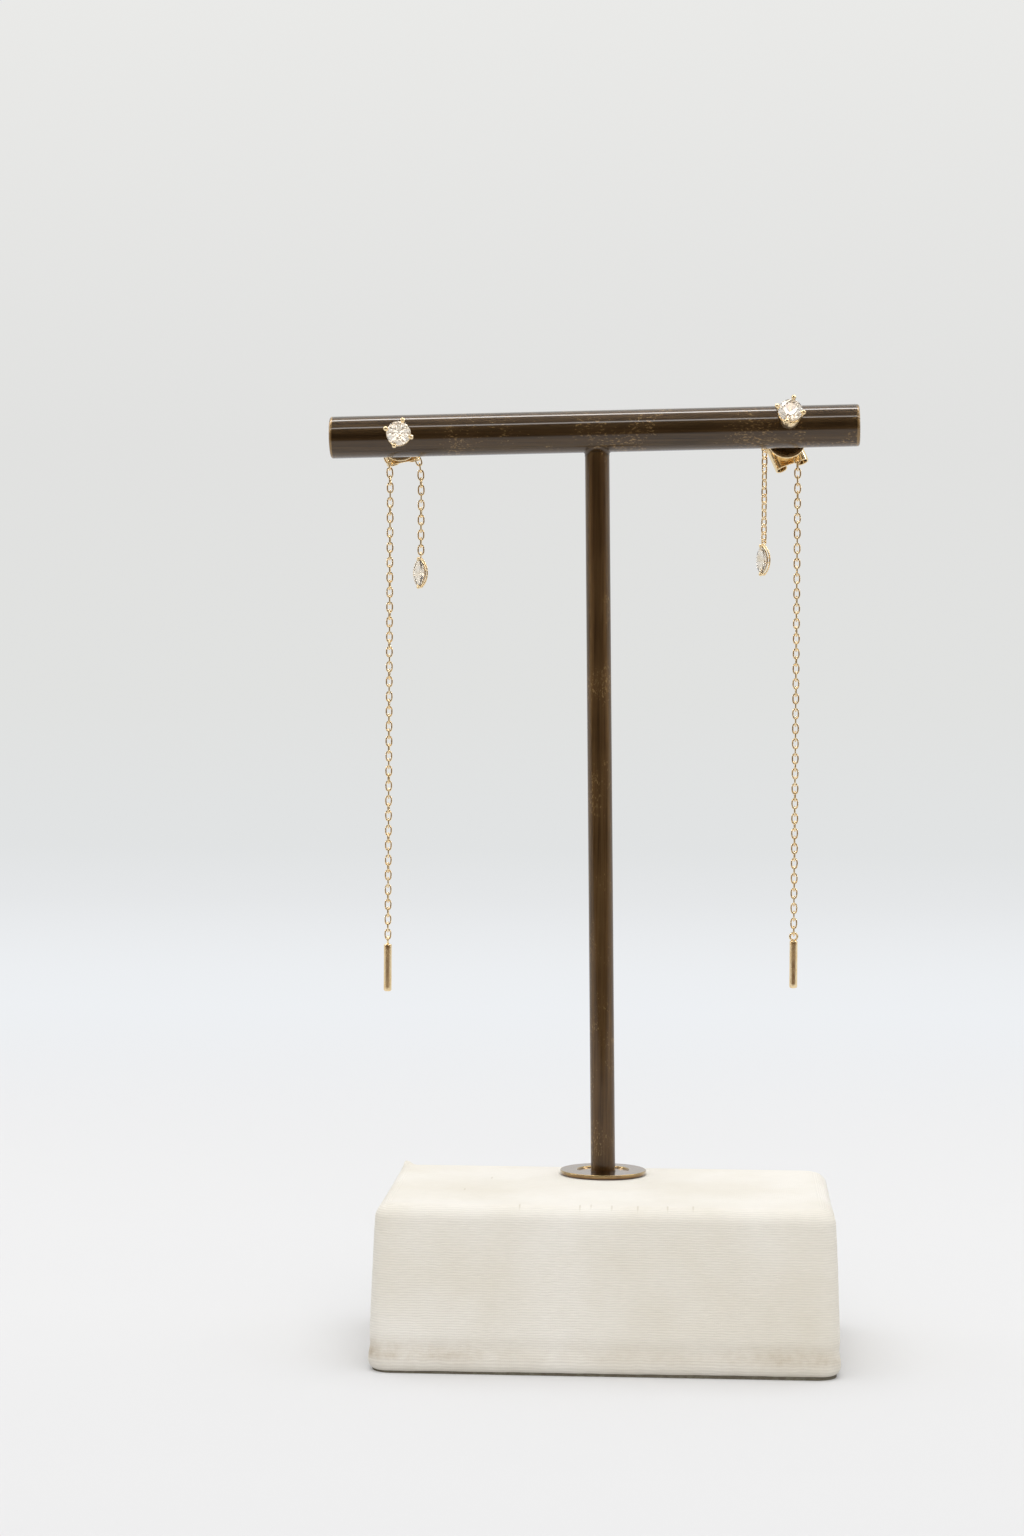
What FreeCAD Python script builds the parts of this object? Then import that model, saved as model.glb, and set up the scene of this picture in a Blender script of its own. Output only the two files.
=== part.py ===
"""Pair of threader earrings hanging on a T-bar display stand.

Millimetres. The origin is the centre of the base's underside, +X runs along the bar,
+Y points to the back of the stand and +Z points up.
"""
import FreeCAD, Part
import math
import os

Vec = FreeCAD.Vector

# Base block, wrapped in cloth
BASE_WIDTH = 55.9
BASE_DEPTH = 34.9
BASE_HEIGHT = 19.85
BASE_TOP_INSET = 0.75
BASE_CORNER_R = 2.6
BASE_TOP_EDGE_R = 1.3
BASE_FOOT_EDGE_R = 0.9
PAD_HEIGHT = 0.6
PAD_INSET = 0.55

# Post, washer and bar
POST_X = -0.94
POST_Y = 9.85
POST_R = 1.525
POST_LEAN = 0.88
POST_SOCKET_DEPTH = 8.0
WASHER_R = 5.375
WASHER_HEIGHT = 0.5
WASHER_RECESS_R = 3.25
WASHER_RECESS_DEPTH = 0.2
WASHER_EDGE_R = 0.08
BAR_AXIS_Z = 112.53
BAR_R = 2.62
BAR_LEFT = 33.45
BAR_RIGHT = 32.67
BAR_TILT = 1.49
BAR_CHAMFER = 0.3
BAR_SOCKET_DEPTH = 2.0

# Gaps between neighbouring pieces
FIT_GAP = 0.05

# Stud setting and its round stone
STONE_R = 1.5
STONE_CROWN = 0.45
STONE_PAVILION = 1.3
STONE_GIRDLE = 0.1
STONE_TABLE = 0.57
SEAT_SPREAD = 1.04
SEAT_HEIGHT = 1.15
STUD_FOOT = 2.9
STUD_GIRDLE = 5.8
CLAW_ROOT_R = 0.95
CLAW_TIP_R = 1.68
CLAW_TIP_RISE = 0.42
CLAW_WIRE_R = 0.24
CLAW_BEAD_R = 0.3
CUP_HEIGHT = 0.32
CUP_R = 1.15
BASKET_WALL = 0.2
BASKET_TOP_DROP = 0.3
ARCH_R = 0.55
ARCH_RISE = 0.12
WINDOW_R = 0.4
WINDOW_RISE = 0.3
EAR_POST_R = 0.4
EAR_POST_END = 7.2

# Ear back: disc, collar, rolled nut, and the yoke that carries both strands
DISC_R = 2.35
DISC_FRONT = 2.9
DISC_HEIGHT = 0.3
COLLAR_R = 0.8
COLLAR_LENGTH = 1.8
NUT_PLATE = 0.25
NUT_HALF_LENGTH = 2.3
ROLL_R = 0.9
ROLL_WALL = 0.2
ROLL_OFFSET = 1.3
YOKE_R = 0.17
YOKE_RISE = 0.06
EYE_R = 0.455
EYE_WIRE_R = 0.125

# Chain link, ten straight runs of five-sided wire
LINK_HALF_LENGTH = 0.62
LINK_HALF_WIDTH = 0.35
LINK_SHOULDER = (0.32, 0.38)
LINK_CROWN_HALF = 0.15
LINK_WIRE_R = 0.1
LINK_PITCH = 0.94
LINK_PLAY = 0.12
LINK_SWAY = 6.0
WIRE_SIDES = 5
KICK_LENGTH = 1.0

# Threader bar
THREADER_R = 0.5
THREADER_LENGTH = 5.95
THREADER_FOOT_R = 0.24
THREADER_TOP_R = 0.12
RING_R = 0.46
RING_WIRE_R = 0.14

# Marquise drop
DROP_HALF_LENGTH = 1.775
DROP_HALF_WIDTH = 0.78
DROP_CROWN = 0.26
DROP_PAVILION = 0.62
DROP_GIRDLE = 0.08
DROP_TABLE = 0.55
DROP_SEAT_SPREAD = 1.05
DROP_SEAT_HEIGHT = 1.25
DROP_WALL = 0.15
DROP_WALL_FRONT = -0.1
DROP_WALL_BACK = -0.8
DROP_CLAW_R = 0.16
DROP_BEAD_R = 0.24
DROP_WINDOW = (0.2, 1.1)
DROP_WINDOW_HEIGHT = (-0.6, -0.3)
BAIL_R = 0.33
BAIL_WIRE_R = 0.1
BAIL_DEPTH = -0.5
BAIL_RISE = 2.28

# Each earring: where its post crosses the bar, how it is turned, and its two strands
EARRINGS = {
    "left": {
        "hole_x": -27.02, "hole_rise": -0.41, "tilt": 3.5, "turn": 4.0,
        "claw_angle": 72.0, "nut_angle": 12.0, "strand_y": 13.6,
        "long": {"x": -28.5, "links": 65, "kick": -0.8, "face": 0.0, "ring_z": 48.54},
        "short": {"x": -24.58, "links": 13, "kick": -0.8, "face": 0.0, "bail_z": 97.22},
        "drop_turn": -25.0,
    },
    "right": {
        "hole_x": 21.3, "hole_rise": -0.47, "tilt": 21.0, "turn": 1.5,
        "claw_angle": 75.0, "nut_angle": 22.0, "strand_y": 13.4,
        "long": {"x": 22.68, "links": 64, "kick": -0.25, "face": 0.0, "ring_z": 49.55},
        "short": {"x": 18.52, "links": 12, "kick": 0.0, "face": 45.0, "bail_z": 99.02},
        "drop_turn": -40.0,
    },
}


def cylinder(radius, start, end):
    """Round rod between two points."""
    axis = end.sub(start)
    return Part.makeCylinder(radius, axis.Length, start, axis)


def polygon_solid(loops):
    """Closed solid from a list of flat corner loops."""
    faces = [Part.Face(Part.makePolygon(loop + [loop[0]])) for loop in loops]
    solid = Part.Solid(Part.Shell(faces))
    if solid.Volume < 0:
        solid.reverse()
    return solid


def placed(shape, origin, x_axis, y_axis, z_axis):
    """Copy of a shape moved from its own axes to the given ones."""
    matrix = FreeCAD.Matrix(
        x_axis.x, y_axis.x, z_axis.x, origin.x,
        x_axis.y, y_axis.y, z_axis.y, origin.y,
        x_axis.z, y_axis.z, z_axis.z, origin.z,
        0, 0, 0, 1)
    return shape.transformed(matrix, True)


def fused(shapes):
    """One soldered solid from several overlapping ones."""
    return shapes[0].multiFuse(shapes[1:]).removeSplitter()


# Stand

def rounded_rectangle(width, depth, radius, z):
    """Flat rounded rectangle centred on the origin, as a closed wire."""
    half_w, half_d = width / 2, depth / 2
    edges = []
    corners = [(half_w - radius, half_d - radius, 0), (radius - half_w, half_d - radius, 90),
               (radius - half_w, radius - half_d, 180), (half_w - radius, radius - half_d, 270)]
    arcs = []
    for cx, cy, start in corners:
        points = []
        for turn in (start, start + 45, start + 90):
            angle = math.radians(turn)
            points.append(Vec(cx + radius * math.cos(angle), cy + radius * math.sin(angle), z))
        arcs.append(points)
    for index, points in enumerate(arcs):
        edges.append(Part.Arc(*points).toShape())
        edges.append(Part.makeLine(points[2], arcs[(index + 1) % 4][0]))
    return Part.Wire(edges)


def post_point(z):
    """Point of the post's centre line at a height."""
    return Vec(POST_X - math.tan(math.radians(POST_LEAN)) * (z - BASE_HEIGHT), POST_Y, z)


def bar_point(x):
    """Point of the bar's centre line above a place along X."""
    joint = post_point(BAR_AXIS_Z)
    return Vec(x, POST_Y, BAR_AXIS_Z + math.tan(math.radians(BAR_TILT)) * (x - joint.x))


def bar_direction():
    tilt = math.radians(BAR_TILT)
    return Vec(math.cos(tilt), 0, math.sin(tilt))


def make_base_block():
    foot = rounded_rectangle(BASE_WIDTH, BASE_DEPTH, BASE_CORNER_R, PAD_HEIGHT + FIT_GAP)
    top = rounded_rectangle(BASE_WIDTH - 2 * BASE_TOP_INSET, BASE_DEPTH - 2 * BASE_TOP_INSET,
                            BASE_CORNER_R, BASE_HEIGHT)
    block = Part.makeLoft([foot, top], True, True)
    top_edges = [e for e in block.Edges if e.BoundBox.ZMin > BASE_HEIGHT - FIT_GAP]
    block = block.makeFillet(BASE_TOP_EDGE_R, top_edges)
    foot_edges = [e for e in block.Edges if e.BoundBox.ZMax < PAD_HEIGHT + 2 * FIT_GAP]
    block = block.makeFillet(BASE_FOOT_EDGE_R, foot_edges)
    socket = cylinder(POST_R + FIT_GAP, post_point(BASE_HEIGHT - POST_SOCKET_DEPTH - FIT_GAP),
                      post_point(BASE_HEIGHT + 1))
    return block.cut(socket)


def make_base_pad():
    pad = Part.Face(rounded_rectangle(BASE_WIDTH - 2 * PAD_INSET, BASE_DEPTH - 2 * PAD_INSET,
                                      BASE_CORNER_R, 0))
    return pad.extrude(Vec(0, 0, PAD_HEIGHT))


def make_washer():
    foot = Vec(POST_X, POST_Y, BASE_HEIGHT + FIT_GAP)
    ring = Part.makeCylinder(WASHER_R, WASHER_HEIGHT, foot)
    ring = ring.makeFillet(WASHER_EDGE_R, [e for e in ring.Edges if len(e.Vertexes) == 1])
    recess = Part.makeCylinder(WASHER_RECESS_R, WASHER_HEIGHT,
                               foot.add(Vec(0, 0, WASHER_HEIGHT - WASHER_RECESS_DEPTH)))
    hole = cylinder(POST_R + FIT_GAP, post_point(BASE_HEIGHT - 1), post_point(BASE_HEIGHT + 2))
    return ring.cut(recess).cut(hole)


def bar_joint():
    """Where the post's axis meets the bottom of the socket in the bar."""
    return post_point(BAR_AXIS_Z - BAR_R + BAR_SOCKET_DEPTH)


def make_post():
    return cylinder(POST_R, post_point(BASE_HEIGHT - POST_SOCKET_DEPTH), bar_joint())


def ear_axes(earring):
    """Crossing point on the bar, and the stud's own right, up and outward directions."""
    tilt, turn = math.radians(earring["tilt"]), math.radians(earring["turn"])
    out = Vec(math.sin(turn) * math.cos(tilt), -math.cos(turn) * math.cos(tilt), math.sin(tilt))
    right = Vec(math.cos(turn), math.sin(turn), 0)
    crossing = bar_point(earring["hole_x"]).add(Vec(0, 0, earring["hole_rise"]))
    return crossing, right, out.cross(right), out


def make_bar():
    middle = post_point(BAR_AXIS_Z)
    start = middle.sub(bar_direction().multiply(BAR_LEFT))
    end = middle.add(bar_direction().multiply(BAR_RIGHT))
    bar = cylinder(BAR_R, start, end)
    bar = bar.makeChamfer(BAR_CHAMFER, [e for e in bar.Edges if len(e.Vertexes) == 1])
    socket = cylinder(POST_R + FIT_GAP, post_point(BAR_AXIS_Z - 2 * BAR_R),
                      bar_joint().add(Vec(0, 0, FIT_GAP)))
    bar = bar.cut(socket)
    for earring in EARRINGS.values():
        crossing, _, _, out = ear_axes(earring)
        reach = Vec(out).multiply(2 * BAR_R)
        bar = bar.cut(cylinder(EAR_POST_R + FIT_GAP, crossing.sub(reach), crossing.add(reach)))
    return bar


# Stones

def round_outline(radius, count):
    points = []
    for index in range(count):
        angle = 2 * math.pi * index / count
        points.append((radius * math.cos(angle), radius * math.sin(angle)))
    return points


def marquise_outline(half_width, half_length, count):
    """Points on the two arcs of a marquise, the first one at its upper tip."""
    arc_r = (half_length ** 2 + half_width ** 2) / (2 * half_width)
    inset = arc_r - half_width
    points = []
    for index in range(count):
        angle = 2 * math.pi * index / count
        y = half_length * math.cos(angle)
        x = math.sqrt(arc_r ** 2 - y ** 2) - inset
        points.append((-math.copysign(max(x, 0.0), math.sin(angle)), y))
    return points


def cut_stone(outline, crown, pavilion, girdle, table):
    """Faceted stone: table, crown and pavilion facets on a girdle centred at z = 0."""
    count = len(outline)
    upper = [Vec(x, y, girdle / 2) for x, y in outline]
    lower = [Vec(x, y, -girdle / 2) for x, y in outline]
    flat = [Vec(x * table, y * table, girdle / 2 + crown) for x, y in outline[::2]]
    culet = Vec(0, 0, -girdle / 2 - pavilion)
    loops = [flat]
    for index in range(count):
        following = (index + 1) % count
        loops.append([lower[index], lower[following], upper[following], upper[index]])
        loops.append([culet, lower[following], lower[index]])
        corner = flat[((index + 1) // 2) % len(flat)]
        loops.append([upper[index], upper[following], corner])
    for index in range(len(flat)):
        following = (index + 1) % len(flat)
        loops.append([flat[index], upper[2 * index + 1], flat[following]])
    return polygon_solid(loops)


def seat_cutter(stone, spread, height_scale):
    """The stone a little enlarged, to cut its seat in the setting."""
    matrix = FreeCAD.Matrix()
    matrix.scale(spread, spread, height_scale)
    return stone.transformGeometry(matrix)


# Stud

def stud_stone():
    outline = round_outline(STONE_R, 16)
    return cut_stone(outline, STONE_CROWN, STONE_PAVILION, STONE_GIRDLE, STONE_TABLE)


def stud_setting(earring):
    """Post, cup, basket wall with arched cuts, and four claws, along its own +Z."""
    girdle = Vec(0, 0, STUD_GIRDLE)
    wall_top = STUD_GIRDLE - BASKET_TOP_DROP
    cup_top = STUD_FOOT + CUP_HEIGHT
    tip_z = STUD_GIRDLE + CLAW_TIP_RISE
    slope = (CLAW_TIP_R - CLAW_ROOT_R) / (tip_z - STUD_FOOT)
    root_r = CLAW_ROOT_R + slope * (cup_top - STUD_FOOT)
    rim_r = CLAW_ROOT_R + slope * (wall_top - STUD_FOOT)
    wall = Part.makeCone(root_r, rim_r, wall_top - cup_top, Vec(0, 0, cup_top))
    wall = wall.cut(Part.makeCone(root_r - BASKET_WALL, rim_r - BASKET_WALL,
                                  wall_top - cup_top, Vec(0, 0, cup_top)))
    for index in range(4):
        claw = math.radians(earring["claw_angle"] + 90 * index)
        between = claw + math.pi / 4
        arch = (between, ARCH_R, wall_top + ARCH_RISE)
        window = (claw, WINDOW_R, cup_top + WINDOW_RISE)
        for angle, radius, height in (arch, window):
            ray = Vec(math.cos(angle), math.sin(angle), 0)
            wall = wall.cut(Part.makeCylinder(radius, 3, Vec(0, 0, height), ray))
    pieces = [Part.makeCone(CLAW_ROOT_R, CUP_R, CUP_HEIGHT, Vec(0, 0, STUD_FOOT)), wall,
              cylinder(EAR_POST_R, Vec(0, 0, -EAR_POST_END), Vec(0, 0, cup_top))]
    for index in range(4):
        angle = math.radians(earring["claw_angle"] + 90 * index)
        ray = Vec(math.cos(angle), math.sin(angle), 0)
        root = Vec(ray).multiply(CLAW_ROOT_R).add(Vec(0, 0, STUD_FOOT + CLAW_WIRE_R))
        tip = Vec(ray).multiply(CLAW_TIP_R).add(Vec(0, 0, tip_z))
        pieces.append(cylinder(CLAW_WIRE_R, root, tip))
        pieces.append(Part.makeSphere(CLAW_BEAD_R, tip))
    setting = fused(pieces)
    cutter = seat_cutter(stud_stone(), SEAT_SPREAD, SEAT_HEIGHT)
    cutter.translate(girdle)
    return setting.cut(cutter)


def ear_back_body(earring):
    """Disc, collar and rolled nut with their hole, along the ear post's own axis."""
    back = DISC_FRONT + DISC_HEIGHT
    plate = back + COLLAR_LENGTH
    disc = Part.makeCylinder(DISC_R, DISC_HEIGHT, Vec(0, 0, -back))
    disc = disc.makeFillet(DISC_HEIGHT / 3, [e for e in disc.Edges if len(e.Vertexes) == 1])
    collar = Part.makeCylinder(COLLAR_R, COLLAR_LENGTH + NUT_PLATE, Vec(0, 0, -plate - NUT_PLATE))
    pieces = [disc, collar]
    bed = Part.makeBox(2 * ROLL_OFFSET, 2 * NUT_HALF_LENGTH, NUT_PLATE,
                       Vec(-ROLL_OFFSET, -NUT_HALF_LENGTH, -plate - NUT_PLATE))
    pieces.append(bed)
    roll_z = -plate - ROLL_R
    for side in (-1, 1):
        foot = Vec(side * ROLL_OFFSET, -NUT_HALF_LENGTH, roll_z)
        roll = Part.makeCylinder(ROLL_R, 2 * NUT_HALF_LENGTH, foot, Vec(0, 1, 0))
        bore = Part.makeCylinder(ROLL_R - ROLL_WALL, 2 * NUT_HALF_LENGTH, foot, Vec(0, 1, 0))
        slot_x = side * ROLL_OFFSET - (ROLL_R if side > 0 else 0)
        slot = Part.makeBox(ROLL_R, 2 * NUT_HALF_LENGTH, ROLL_R / 2,
                            Vec(slot_x, -NUT_HALF_LENGTH, roll_z - ROLL_R / 4))
        pieces.append(roll.cut(bore).cut(slot))
    body = fused(pieces)
    body = body.cut(cylinder(EAR_POST_R + FIT_GAP, Vec(0, 0, -EAR_POST_END - 1), Vec(0, 0, 0)))
    body.rotate(Vec(0, 0, 0), Vec(0, 0, 1), earring["nut_angle"])
    return body


def vertical_ring(centre, radius, wire_r, face):
    """Upright ring whose plane is turned by an angle from the XZ plane."""
    angle = math.radians(face)
    return Part.makeTorus(radius, wire_r, centre, Vec(-math.sin(angle), math.cos(angle), 0))


def make_ear_back(earring, eyes):
    """The back on its post, with a yoke to an eye above each strand."""
    crossing, right, up, out = ear_axes(earring)
    body = placed(ear_back_body(earring), crossing, right, up, out)
    reach = DISC_FRONT + DISC_HEIGHT + COLLAR_LENGTH / 2
    yoke_z = crossing.sub(Vec(out).multiply(reach)).z + YOKE_RISE
    pieces = [body]
    ends = []
    for centre, face in eyes:
        end = Vec(centre.x, centre.y, yoke_z)
        ends.append(end)
        pieces.append(Part.makeSphere(YOKE_R, end))
        pieces.append(cylinder(YOKE_R, end, Vec(centre.x, centre.y, centre.z + EYE_R)))
        pieces.append(vertical_ring(centre, EYE_R, EYE_WIRE_R, face))
    pieces.append(cylinder(YOKE_R, ends[0], ends[1]))
    hole = cylinder(EAR_POST_R + FIT_GAP, crossing.sub(Vec(out).multiply(EAR_POST_END + 1)), crossing)
    return fused(pieces).cut(hole)


# Chains

def link_solid():
    """One link standing in the XZ plane, centred on the origin."""
    shoulder_x, shoulder_z = LINK_SHOULDER
    quarter = [(LINK_HALF_WIDTH, 0), (shoulder_x, shoulder_z), (LINK_CROWN_HALF, LINK_HALF_LENGTH)]
    upper = quarter + [(-x, z) for x, z in reversed(quarter)]
    outline = upper + [(x, -z) for x, z in reversed(upper[1:-1])]
    path = [Vec(x, 0, z) for x, z in outline]
    count = len(path)
    sections = []
    for index, point in enumerate(path):
        before = point.sub(path[index - 1]).normalize()
        after = path[(index + 1) % count].sub(point).normalize()
        outward = Vec(before.z + after.z, 0, -before.x - after.x).normalize()
        mitre = 1 / math.cos(before.getAngle(after) / 2)
        section = []
        for side in range(WIRE_SIDES):
            angle = 2 * math.pi * side / WIRE_SIDES
            offset = Vec(outward).multiply(LINK_WIRE_R * math.cos(angle) * mitre)
            section.append(point.add(offset).add(Vec(0, LINK_WIRE_R * math.sin(angle), 0)))
        sections.append(section)
    loops = []
    for index in range(count):
        here, there = sections[index], sections[(index + 1) % count]
        for side in range(WIRE_SIDES):
            following = (side + 1) % WIRE_SIDES
            loops.append([here[side], there[side], there[following], here[following]])
    return polygon_solid(loops)


def hang(wire_r):
    """Distance from a link's centre to the middle of the wire that its end hangs on or carries."""
    return LINK_HALF_LENGTH - LINK_WIRE_R - LINK_PLAY - wire_r


def strand(spec, end_z, ring_r, ring_wire_r):
    """The eye's X and Z, and each link's X, Z, turn about Z and lean, from the top down."""
    links = []
    depth = EYE_R + hang(EYE_WIRE_R)
    for index in range(spec["links"]):
        offset = spec["kick"] * math.exp(-depth / KICK_LENGTH)
        lean = math.atan(-offset / KICK_LENGTH)
        turn = spec["face"] + 90 * index + LINK_SWAY * math.sin(1.7 * index)
        links.append((spec["x"] + offset, -depth, turn, lean))
        depth += LINK_PITCH * math.cos(lean)
    rise = end_z + ring_r + hang(ring_wire_r) - links[-1][1]
    links = [(x, rise + z, turn, lean) for x, z, turn, lean in links]
    first_x, first_z, _, first_lean = links[0]
    eye_x = first_x - math.sin(first_lean) * hang(EYE_WIRE_R)
    eye_z = first_z + math.cos(first_lean) * hang(EYE_WIRE_R) + EYE_R
    return (eye_x, eye_z), links


def make_chain(links, strand_y):
    """Interlocked links, each turned a quarter from the one above."""
    pattern = link_solid()
    solids = []
    for x, z, turn, lean in links:
        link = pattern.copy()
        link.rotate(Vec(0, 0, 0), Vec(0, 0, 1), turn)
        link.rotate(Vec(0, 0, 0), Vec(0, 1, 0), -math.degrees(lean))
        link.translate(Vec(x, strand_y, z))
        solids.append(link)
    return Part.Compound(solids)


def make_threader_bar(x, y, ring_z, face):
    """Round bar with a ring soldered on its top."""
    top = ring_z - RING_R - RING_WIRE_R / 2
    bar = Part.makeCylinder(THREADER_R, THREADER_LENGTH, Vec(x, y, top - THREADER_LENGTH))
    rims = [e for e in bar.Edges if len(e.Vertexes) == 1]
    bar = bar.makeFillet(THREADER_FOOT_R, [e for e in rims if e.BoundBox.ZMax < top - 1])
    rims = [e for e in bar.Edges if e.BoundBox.ZMin > top - THREADER_TOP_R / 2]
    bar = bar.makeFillet(THREADER_TOP_R, rims)
    return fused([bar, vertical_ring(Vec(x, y, ring_z), RING_R, RING_WIRE_R, face)])


# Drop

def drop_stone():
    outline = marquise_outline(DROP_HALF_WIDTH, DROP_HALF_LENGTH, 16)
    return cut_stone(outline, DROP_CROWN, DROP_PAVILION, DROP_GIRDLE, DROP_TABLE)


def marquise_prism(half_width, half_length, z_low, z_high):
    tips = [Vec(0, half_length, z_low), Vec(0, -half_length, z_low)]
    sides = [Vec(half_width, 0, z_low), Vec(-half_width, 0, z_low)]
    edges = [Part.Arc(tips[0], sides[0], tips[1]).toShape(),
             Part.Arc(tips[1], sides[1], tips[0]).toShape()]
    return Part.Face(Part.Wire(edges)).extrude(Vec(0, 0, z_high - z_low))


def drop_setting(bail_face):
    """Pierced marquise wall, a claw at each tip and the ring behind the upper one."""
    low, high = DROP_WALL_BACK, DROP_WALL_FRONT
    outer = marquise_prism(DROP_HALF_WIDTH + DROP_WALL, DROP_HALF_LENGTH + DROP_WALL, low, high)
    inner = marquise_prism(DROP_HALF_WIDTH - DROP_WALL / 2, DROP_HALF_LENGTH - DROP_WALL, low, high)
    wall = outer.cut(inner)
    near, far = DROP_WINDOW
    bottom, top = DROP_WINDOW_HEIGHT
    for start in (near, -far):
        wall = wall.cut(Part.makeBox(4, far - near, top - bottom, Vec(-2, start, bottom)))
    pieces = [wall]
    for tip in (DROP_HALF_LENGTH, -DROP_HALF_LENGTH):
        pieces.append(cylinder(DROP_CLAW_R, Vec(0, tip, low), Vec(0, tip, DROP_BEAD_R / 2)))
        pieces.append(Part.makeSphere(DROP_BEAD_R, Vec(0, tip, DROP_BEAD_R / 2)))
    setting = fused(pieces).cut(seat_cutter(drop_stone(), DROP_SEAT_SPREAD, DROP_SEAT_HEIGHT))
    angle = math.radians(bail_face)
    bail = Part.makeTorus(BAIL_R, BAIL_WIRE_R, Vec(0, BAIL_RISE, BAIL_DEPTH),
                          Vec(math.sin(angle), 0, math.cos(angle)))
    return fused([setting, bail])


def drop_axes(earring, x, bail_z):
    """Centre of the drop's stone, and the drop's own right, up and outward directions."""
    turn = math.radians(earring["drop_turn"])
    out = Vec(math.sin(turn), -math.cos(turn), 0)
    right = Vec(math.cos(turn), math.sin(turn), 0)
    centre = Vec(x, earring["strand_y"], bail_z - BAIL_RISE).sub(Vec(out).multiply(BAIL_DEPTH))
    return centre, right, Vec(0, 0, 1), out


def ring_face(spec):
    """Turn of the ring that the last link passes through."""
    return spec["face"] + 90 * spec["links"]


def make_earring(side, earring):
    """All the pieces of one earring, by node name."""
    y = earring["strand_y"]
    long, short = earring["long"], earring["short"]
    long_eye, long_links = strand(long, long["ring_z"], RING_R, RING_WIRE_R)
    short_eye, short_links = strand(short, short["bail_z"], BAIL_R, BAIL_WIRE_R)
    eyes = [(Vec(long_eye[0], y, long_eye[1]), long["face"] - 90),
            (Vec(short_eye[0], y, short_eye[1]), short["face"] - 90)]
    stud = ear_axes(earring)
    stone = stud_stone()
    stone.translate(Vec(0, 0, STUD_GIRDLE))
    drop = drop_axes(earring, short["x"], short["bail_z"])
    bail_face = ring_face(short) - earring["drop_turn"]
    return {
        side + "_stud_setting": placed(stud_setting(earring), *stud),
        side + "_stud_stone": placed(stone, *stud),
        side + "_ear_back": make_ear_back(earring, eyes),
        side + "_long_chain": make_chain(long_links, y),
        side + "_threader_bar": make_threader_bar(long["x"], y, long["ring_z"], ring_face(long)),
        side + "_short_chain": make_chain(short_links, y),
        side + "_drop_setting": placed(drop_setting(bail_face), *drop),
        side + "_drop_stone": placed(drop_stone(), *drop),
    }


def build():
    """Every piece by its node name."""
    pieces = {
        "base_pad": make_base_pad(),
        "base_block": make_base_block(),
        "post_washer": make_washer(),
        "stand_post": make_post(),
        "stand_bar": make_bar(),
    }
    for side, earring in EARRINGS.items():
        pieces.update(make_earring(side, earring))
    return pieces


def main():
    os.makedirs("parts", exist_ok=True)
    for name, shape in build().items():
        shape.exportStep("parts/" + name + ".step")
        print(name, "solids", len(shape.Solids), "volume", round(shape.Volume, 3), shape.isValid())


main()
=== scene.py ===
"""Finished pieces of a pair of threader earrings that hang on a T-bar display stand."""

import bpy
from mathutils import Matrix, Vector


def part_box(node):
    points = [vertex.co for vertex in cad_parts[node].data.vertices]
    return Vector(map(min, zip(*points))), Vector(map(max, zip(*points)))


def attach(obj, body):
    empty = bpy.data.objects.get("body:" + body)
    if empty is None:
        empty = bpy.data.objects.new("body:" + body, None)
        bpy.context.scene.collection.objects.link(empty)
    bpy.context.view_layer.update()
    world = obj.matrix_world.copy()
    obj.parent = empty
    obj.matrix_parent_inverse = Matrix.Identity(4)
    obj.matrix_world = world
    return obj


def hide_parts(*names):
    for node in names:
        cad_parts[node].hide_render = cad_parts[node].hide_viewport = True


bl_info = {
    "name": "Threader earrings on a T-bar stand",
    "version": (1, 0, 0),
    "blender": (4, 5, 0),
    "location": "3D View > Sidebar > Earrings",
    "description": "Makes the finished pieces of a pair of threader earrings and their stand",
    "category": "Object",
}

import math

import bmesh
import bpy
import numpy as np
from mathutils import Matrix, Vector, noise

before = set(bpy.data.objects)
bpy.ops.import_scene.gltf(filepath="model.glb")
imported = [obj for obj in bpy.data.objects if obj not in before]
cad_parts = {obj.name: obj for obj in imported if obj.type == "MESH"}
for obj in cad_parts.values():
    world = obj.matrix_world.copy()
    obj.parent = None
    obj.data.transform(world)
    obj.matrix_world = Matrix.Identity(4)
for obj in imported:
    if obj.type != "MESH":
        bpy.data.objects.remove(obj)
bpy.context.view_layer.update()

MM = 0.001
SIDES = ("left", "right")
BODY = "root"
SMOOTH_ANGLE = math.radians(35)


# Sizes and colours

def length(name, description, default):
    """A size that the user gives in metres, from a default in millimetres."""
    return bpy.props.FloatProperty(name=name, description=description, default=default * MM,
                                   min=0.0, precision=5, subtype="DISTANCE", unit="LENGTH")


def colour(name, description, default):
    return bpy.props.FloatVectorProperty(name=name, description=description, default=default,
                                         size=3, min=0.0, max=1.0, subtype="COLOR")


def number(name, description, default, low=0.0, high=1.0, **kind):
    return bpy.props.FloatProperty(name=name, description=description, default=default,
                                   min=low, max=high, **kind)


def turning(name, description, degrees):
    return bpy.props.FloatProperty(name=name, description=description,
                                   default=math.radians(degrees), subtype="ANGLE", unit="ROTATION")


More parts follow.
